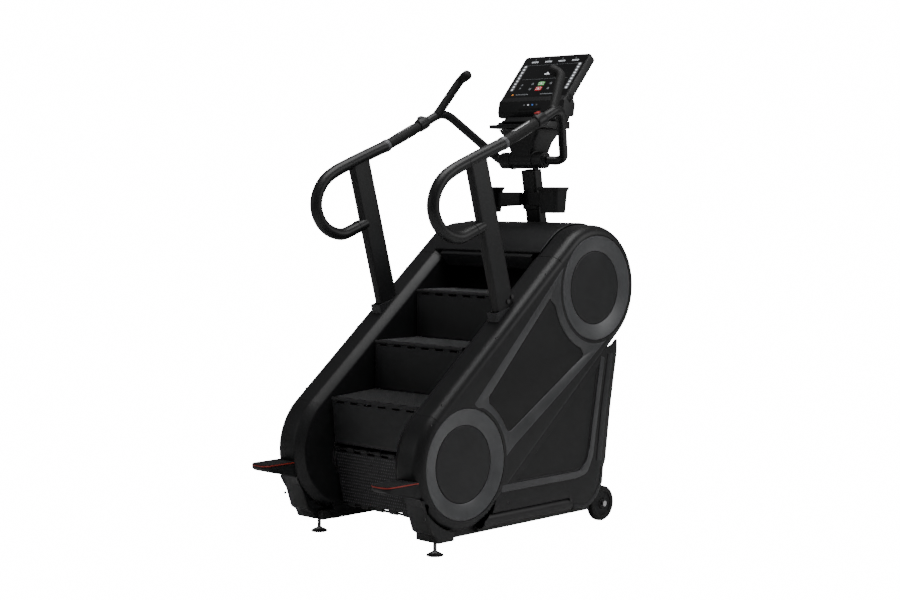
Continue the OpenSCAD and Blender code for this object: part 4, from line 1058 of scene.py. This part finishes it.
# Rings of the bulge on the console's back: width, height, drop, corner radius and depth
hump_rows = [(0.30, 0.20, 0.010, 0.04, -0.037), (0.29, 0.19, 0.010, 0.04, -0.048),
             (0.22, 0.13, 0.030, 0.03, -0.066)]
hump = [[SCREEN @ Vector((a, b, depth)) for a, b in on_screen(w, h, 0, mid_b - drop, r, 8)]
        for w, h, drop, r, depth in hump_rows]
loft("console_hump", hump, CONSOLE)
chin = soft_outline([(0.505, 1.7445), (0.512, 1.722), (0.530, 1.7185), (0.580, 1.720), (0.590, 1.775),
                     (0.556, 1.828), (0.5140, 1.7900)], [0.006, 0.006, 0.004, 0.01, 0.01, 0.01, 0.004], 5)
plate("console_chin", [chin], -0.188, 0.188, CONSOLE, 0.004, steps=5)
throat = soft_outline([(0.492, 1.700), (0.594, 1.700), (0.628, 1.800), (0.604, 1.850), (0.560, 1.800),
                       (0.516, 1.724)], 0.010, 5)
plate("console_throat", [throat], -0.150, 0.150, CONSOLE, 0.006, steps=5)
# Plane of the chin's front, which carries the slot, a near-black plate of painted shade, and four small marks
chin_up = Vector((0, 0.009, 0.0455)).normalized()
chin_out = Vector((0, -0.981, 0.194)).normalized()
CHIN = tilted_plane(chin_up, chin_out, Vector((0, 0.5095, 1.7672)))


def chin_plate(name, w, h, a, b, r, low, high, material, edge=0.0004):
    return plate(name, [[(a + x, b + y) for x, y in rounded_rect(w, h, r, 5)]], low, high, material, edge,
                 CHIN)


# The slot is a near-black plate: painted shade in the opening
chin_plate("chin_slot", 0.128, 0.011, 0, -0.012, 0.0045, -0.004, 0.0006, SHADE_BLACK)
for k, (a, m) in enumerate(((-0.036, DIM), (-0.012, LIT), (0.012, BLUE), (0.036, DIM))):
    chin_plate("chin_mark_%d" % k, 0.0085, 0.0060, a, 0.006, 0.0018, -0.001, 0.0009, m, 0.0002)


# ---------------------------------------------------------------- display marks
def mark(name, spots, material, low=-0.0010, high=0.0002):
    """Small printed or lit shapes on the glass: (across, up, width, height) each."""
    outlines = [on_screen(w, h, a, b, min(w, h) * 0.22, 2) for a, b, w, h in spots]
    return plate(name, outlines, low, high, material, 0.00015, SCREEN, steps=1)


readouts, icons = [], []
for a in (-0.118, -0.040, 0.038, 0.114):
    for k in range(4):
        x = a - 0.0150 + 0.0098 * k
        readouts += [(x, 0.2375, 0.0016, 0.0075), (x + 0.0056, 0.2375, 0.0016, 0.0075),
                     (x + 0.0028, 0.2410, 0.0038, 0.0014), (x + 0.0028, 0.2340, 0.0038, 0.0014)]
    icons.append((a, 0.2530, 0.0055, 0.0055))
mark("readout_bars", readouts, LIT)
mark("readout_icons", icons, DIM)
for s_m, side in SIDES:
    mark("key_band_" + side, [(s_m * 0.1560, 0.1430, 0.0230, 0.1560)], BAND, -0.0012, -0.0001)
    mark("band_keys_" + side, [(s_m * 0.1560, 0.0740 + 0.0172 * k, 0.0105, 0.0088) for k in range(9)], LIT,
         -0.0004, 0.0004)
# Rising-steps glyph and small icons
mark("step_glyph", [(-0.012, 0.1620, 0.0090, 0.0070), (-0.002, 0.1660, 0.0090, 0.0150),
                    (0.008, 0.1700, 0.0090, 0.0230)], LIT)
mark("side_icons", [(-0.112, 0.100, 0.010, 0.010), (-0.112, 0.080, 0.010, 0.010),
                    (0.112, 0.100, 0.010, 0.010), (0.112, 0.080, 0.010, 0.010), (-0.052, 0.104, 0.012, 0.012),
                    (0.052, 0.104, 0.012, 0.012), (-0.052, 0.074, 0.012, 0.012),
                    (0.052, 0.074, 0.012, 0.012)], DIM)
mark("divider_line", [(0.0, 0.1330, 0.2600, 0.0012), (0.0, 0.2180, 0.2900, 0.0010)], DIM)
mark("amber_spot", [(-0.134, 0.0420, 0.0080, 0.0080)], AMBER)
mark("status_bar", [(-0.080, 0.0420, 0.0700, 0.0050), (0.070, 0.0420, 0.0900, 0.0050)], DIM)
for name, b, cap, body in (("start", 0.103, GREEN, "start_key"), ("stop", 0.073, KEY_RED, "stop_key")):
    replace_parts(plate(name + "_cap", [on_screen(0.0335, 0.0215, 0, b, 0.003, 5)], -0.0045, 0.0028, cap,
                      0.0009, SCREEN, body=body), body)
    outline = [on_screen(0.0270, 0.0155, 0, b, 0.0025, 4), on_screen(0.0250, 0.0135, 0, b, 0.0018, 4)]
    plate(name + "_outline", outline, 0.0020, 0.0030, LIT, 0.0001, SCREEN, body=body)
    plate(name + "_sign", [on_screen(0.0065, 0.0065, 0, b, 0.0012, 3)], 0.0020, 0.0030, LIT, 0.0001, SCREEN,
          body=body)


# ---------------------------------------------------------------- bottle holders
def bottle_cup(s, side):
    cx, cy, top, low = 0.184, 0.450, 1.4200, 1.3100
    # Width, corner radius and height of each ring, up the outside and down the inside
    walls = [(0.088, 0.018, low), (0.094, 0.020, low + 0.003), (0.103, 0.022, low + 0.060),
             (0.109, 0.023, top - 0.014), (0.117, 0.026, top - 0.0125), (0.120, 0.027, top - 0.009),
             (0.120, 0.027, top - 0.003), (0.117, 0.026, top), (0.105, 0.022, top),
             (0.103, 0.021, top - 0.003), (0.097, 0.019, low + 0.060), (0.088, 0.017, low + 0.007),
             (0.082, 0.015, low + 0.005)]
    rings = [[Vector((cx + a, cy + b, z)) for a, b in rounded_rect(w, w - 0.018, r, 7)] for w, r, z in walls]
    return loft("bottle_cup_" + side, rings, CONSOLE, s, angle=40)


for s, side in SIDES:
    piece = bottle_cup(s, side)
    if s > 0:
        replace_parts(piece, "bottle_holders")
    arm_rows = [(0.026, 0.500, 1.368, 0.060, 0.056), (0.050, 0.486, 1.368, 0.050, 0.058),
                (0.100, 0.472, 1.366, 0.038, 0.062), (0.132, 0.466, 1.364, 0.034, 0.064)]
    arm = [[Vector((x, y + a, z + b)) for a, b in rounded_rect(w, h, 0.008, 5)] for x, y, z, w, h in arm_rows]
    loft("bottle_arm_" + side, arm, CONSOLE, s)
saddle_rows = [(0.094, 0.088, 0.066), (0.097, 0.094, 0.072), (0.163, 0.094, 0.072), (0.166, 0.088, 0.066)]
loft("mast_saddle", [mast_ring(lift, w, d, 0.014) for lift, w, d in saddle_rows], CONSOLE)


# ---------------------------------------------------------------- wheels and feet
def level_ring(base, z, r, n):
    return [base + Vector((a, b, z)) for a, b in circle(r, n)]


for s, side in SIDES:
    x = 0.350
    wheel = [(0.0075, x - 0.013), (0.030, x - 0.012), (0.050, x - 0.013), (0.053, x - 0.0155),
             (0.066, x - 0.0155), (0.0715, x - 0.0135), (0.0745, x - 0.009), (0.0750, x - 0.003),
             (0.0750, x + 0.003), (0.0745, x + 0.009), (0.0715, x + 0.0135), (0.066, x + 0.0155),
             (0.053, x + 0.0155), (0.0505, x + 0.0145), (0.049, x + 0.011), (0.024, x + 0.010),
             (0.021, x + 0.0145), (0.0075, x + 0.0150)]
    pick = [1] * 3 + [0] * 10 + [1] * 4
    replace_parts(turned("wheel_tyre_" + side, wheel, (0.573, 0.075), None, s, "wheel_" + side, 96, [TYRE, PEG],
                       pick), "wheel_" + side)
    foot = Vector((RAIL_X, -0.414, 0.0))
    rings = [(0.0, 0.0320), (0.0012, 0.0335), (0.0050, 0.0335), (0.0065, 0.0320), (0.0080, 0.0270),
             (0.0120, 0.0230), (0.0122, 0.0120)]
    n = 48
    verts = [p for z, r in rings for p in level_ring(foot, z, r, n)]
    faces = ring_faces(len(rings), n) + [list(range(n)), [(len(rings) - 1) * n + k for k in range(n)]]
    # Grey sole below, steel above
    picks = [1] * 3 * n + [0] * (len(rings) - 4) * n + [1, 0]
    pad = finish_mesh("foot_pad_" + side, sided(s, verts), faces, None, "foot_" + side, 30.0, [STEEL, BOOT],
                      picks)
    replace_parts(pad, "levelling_foot_" + side)
    nut = [(0.0118, 0.0110), (0.0130, 0.0128), (0.0175, 0.0128), (0.0190, 0.0110)]
    loft("foot_nut_" + side, [level_ring(foot, z, r, 6) for z, r in nut], STEEL, s, "foot_" + side)
    thread = [(0.018 + 0.044 * k / 39, 0.0078 if k % 2 else 0.0069) for k in range(40)]
    loft("foot_stem_" + side, [level_ring(foot, z, r, 24) for z, r in thread], STEEL, s, "foot_" + side, 20.0)

# ---------------------------------------------------------------- steps
TREAD_RUN = 0.2426
RISER_RISE = 0.2031
CHAIN_R = 0.120
PITCH = math.hypot(TREAD_RUN, RISER_RISE)
STRAIGHT = 4 * PITCH - math.pi * CHAIN_R
# Lower chain wheel's centre, along and below the line of disc centres, and pin 1 along the upper run
WHEEL_SHIFT = 0.018
WHEEL_DROP = 0.047
PIN_START = 0.240


def chain_point(s):
    """(Y, Z) at distance s along the step chain, from the start of its upper run."""
    if s < 0:
        along, up = CHAIN_R * math.sin(s / CHAIN_R), CHAIN_R * math.cos(s / CHAIN_R)
    elif s < STRAIGHT:
        along, up = s, CHAIN_R
    elif s < STRAIGHT + math.pi * CHAIN_R:
        turn = (s - STRAIGHT) / CHAIN_R
        along, up = STRAIGHT + CHAIN_R * math.sin(turn), CHAIN_R * math.cos(turn)
    else:
        along, up = 2 * STRAIGHT + math.pi * CHAIN_R - s, -CHAIN_R
    return Vector(slope_at(WHEEL_SHIFT + along, up - WHEEL_DROP))


def nose_between(low, high):
    """Front edge of the step whose riser stands on pin low and whose tread runs to pin high."""
    way = high - low
    d = way.length
    x = (RISER_RISE ** 2 - TREAD_RUN ** 2 + d ** 2) / (2 * d)
    return low + way / d * x + Vector((-way.y, way.x)) / d * math.sqrt(RISER_RISE ** 2 - x ** 2)


PINS = [chain_point(PIN_START + (k - 1) * PITCH) for k in range(8)]
NOSES = [nose_between(PINS[k - 1], PINS[k]) for k in range(8)]
STEP_BODIES = ["idler", "tread_1", "upper_steps", "upper_steps", "drive", "tread_5", "lower_steps",
               "lower_steps"]
for k, (nose, pin, body) in enumerate(zip(NOSES, PINS, STEP_BODIES)):
    a, b = Vector((0, *nose)), Vector((0, *pin))
    way = (b - a).normalized()
    up = Vector((0, -way.z, way.y))
    length = (b - a).length
    spots = []
    for j in range(16):
        d = 0.0185 + j * (length - 0.037) / 15
        for i in range(39):
            x = -0.2415 + 0.0127 * i + (0.0 if j % 2 else 0.00635)
            if abs(x) < 0.245:
                spots.append(Vector((x, 0, 0)) + a + way * d + up * 0.0080)
    studs("tread_studs_%d" % k, spots, up, body, STUD, 0.0034, 0.0012)

# ---------------------------------------------------------------- finishes on the CAD pieces that stay
FINISHES = {
    FRAME: ["base_frame"],
    SIDE: ["rear_cover"],
    COATED: ["side_tubes"],
    BOOT: ["post_boots"],
    STEEL: ["wheel_bolts"],
    DARK_STEEL: ["post_bolts", "brake_rotor"],
    CHAIN: ["shaft_bearings", "chain_loops", "drive_shaft", "idler_shaft"],
    GUIDE: ["chain_guides"],
    BELT: ["drive_belt"],
    TREAD: ["treads_up", "steps_down", "tread_0", "tread_1", "tread_4", "tread_5"],
    RISER: ["risers_up", "riser_0", "riser_1", "riser_4", "riser_5"],
}
for material, names in FINISHES.items():
    for name in names:
        cad_surface(name, material)
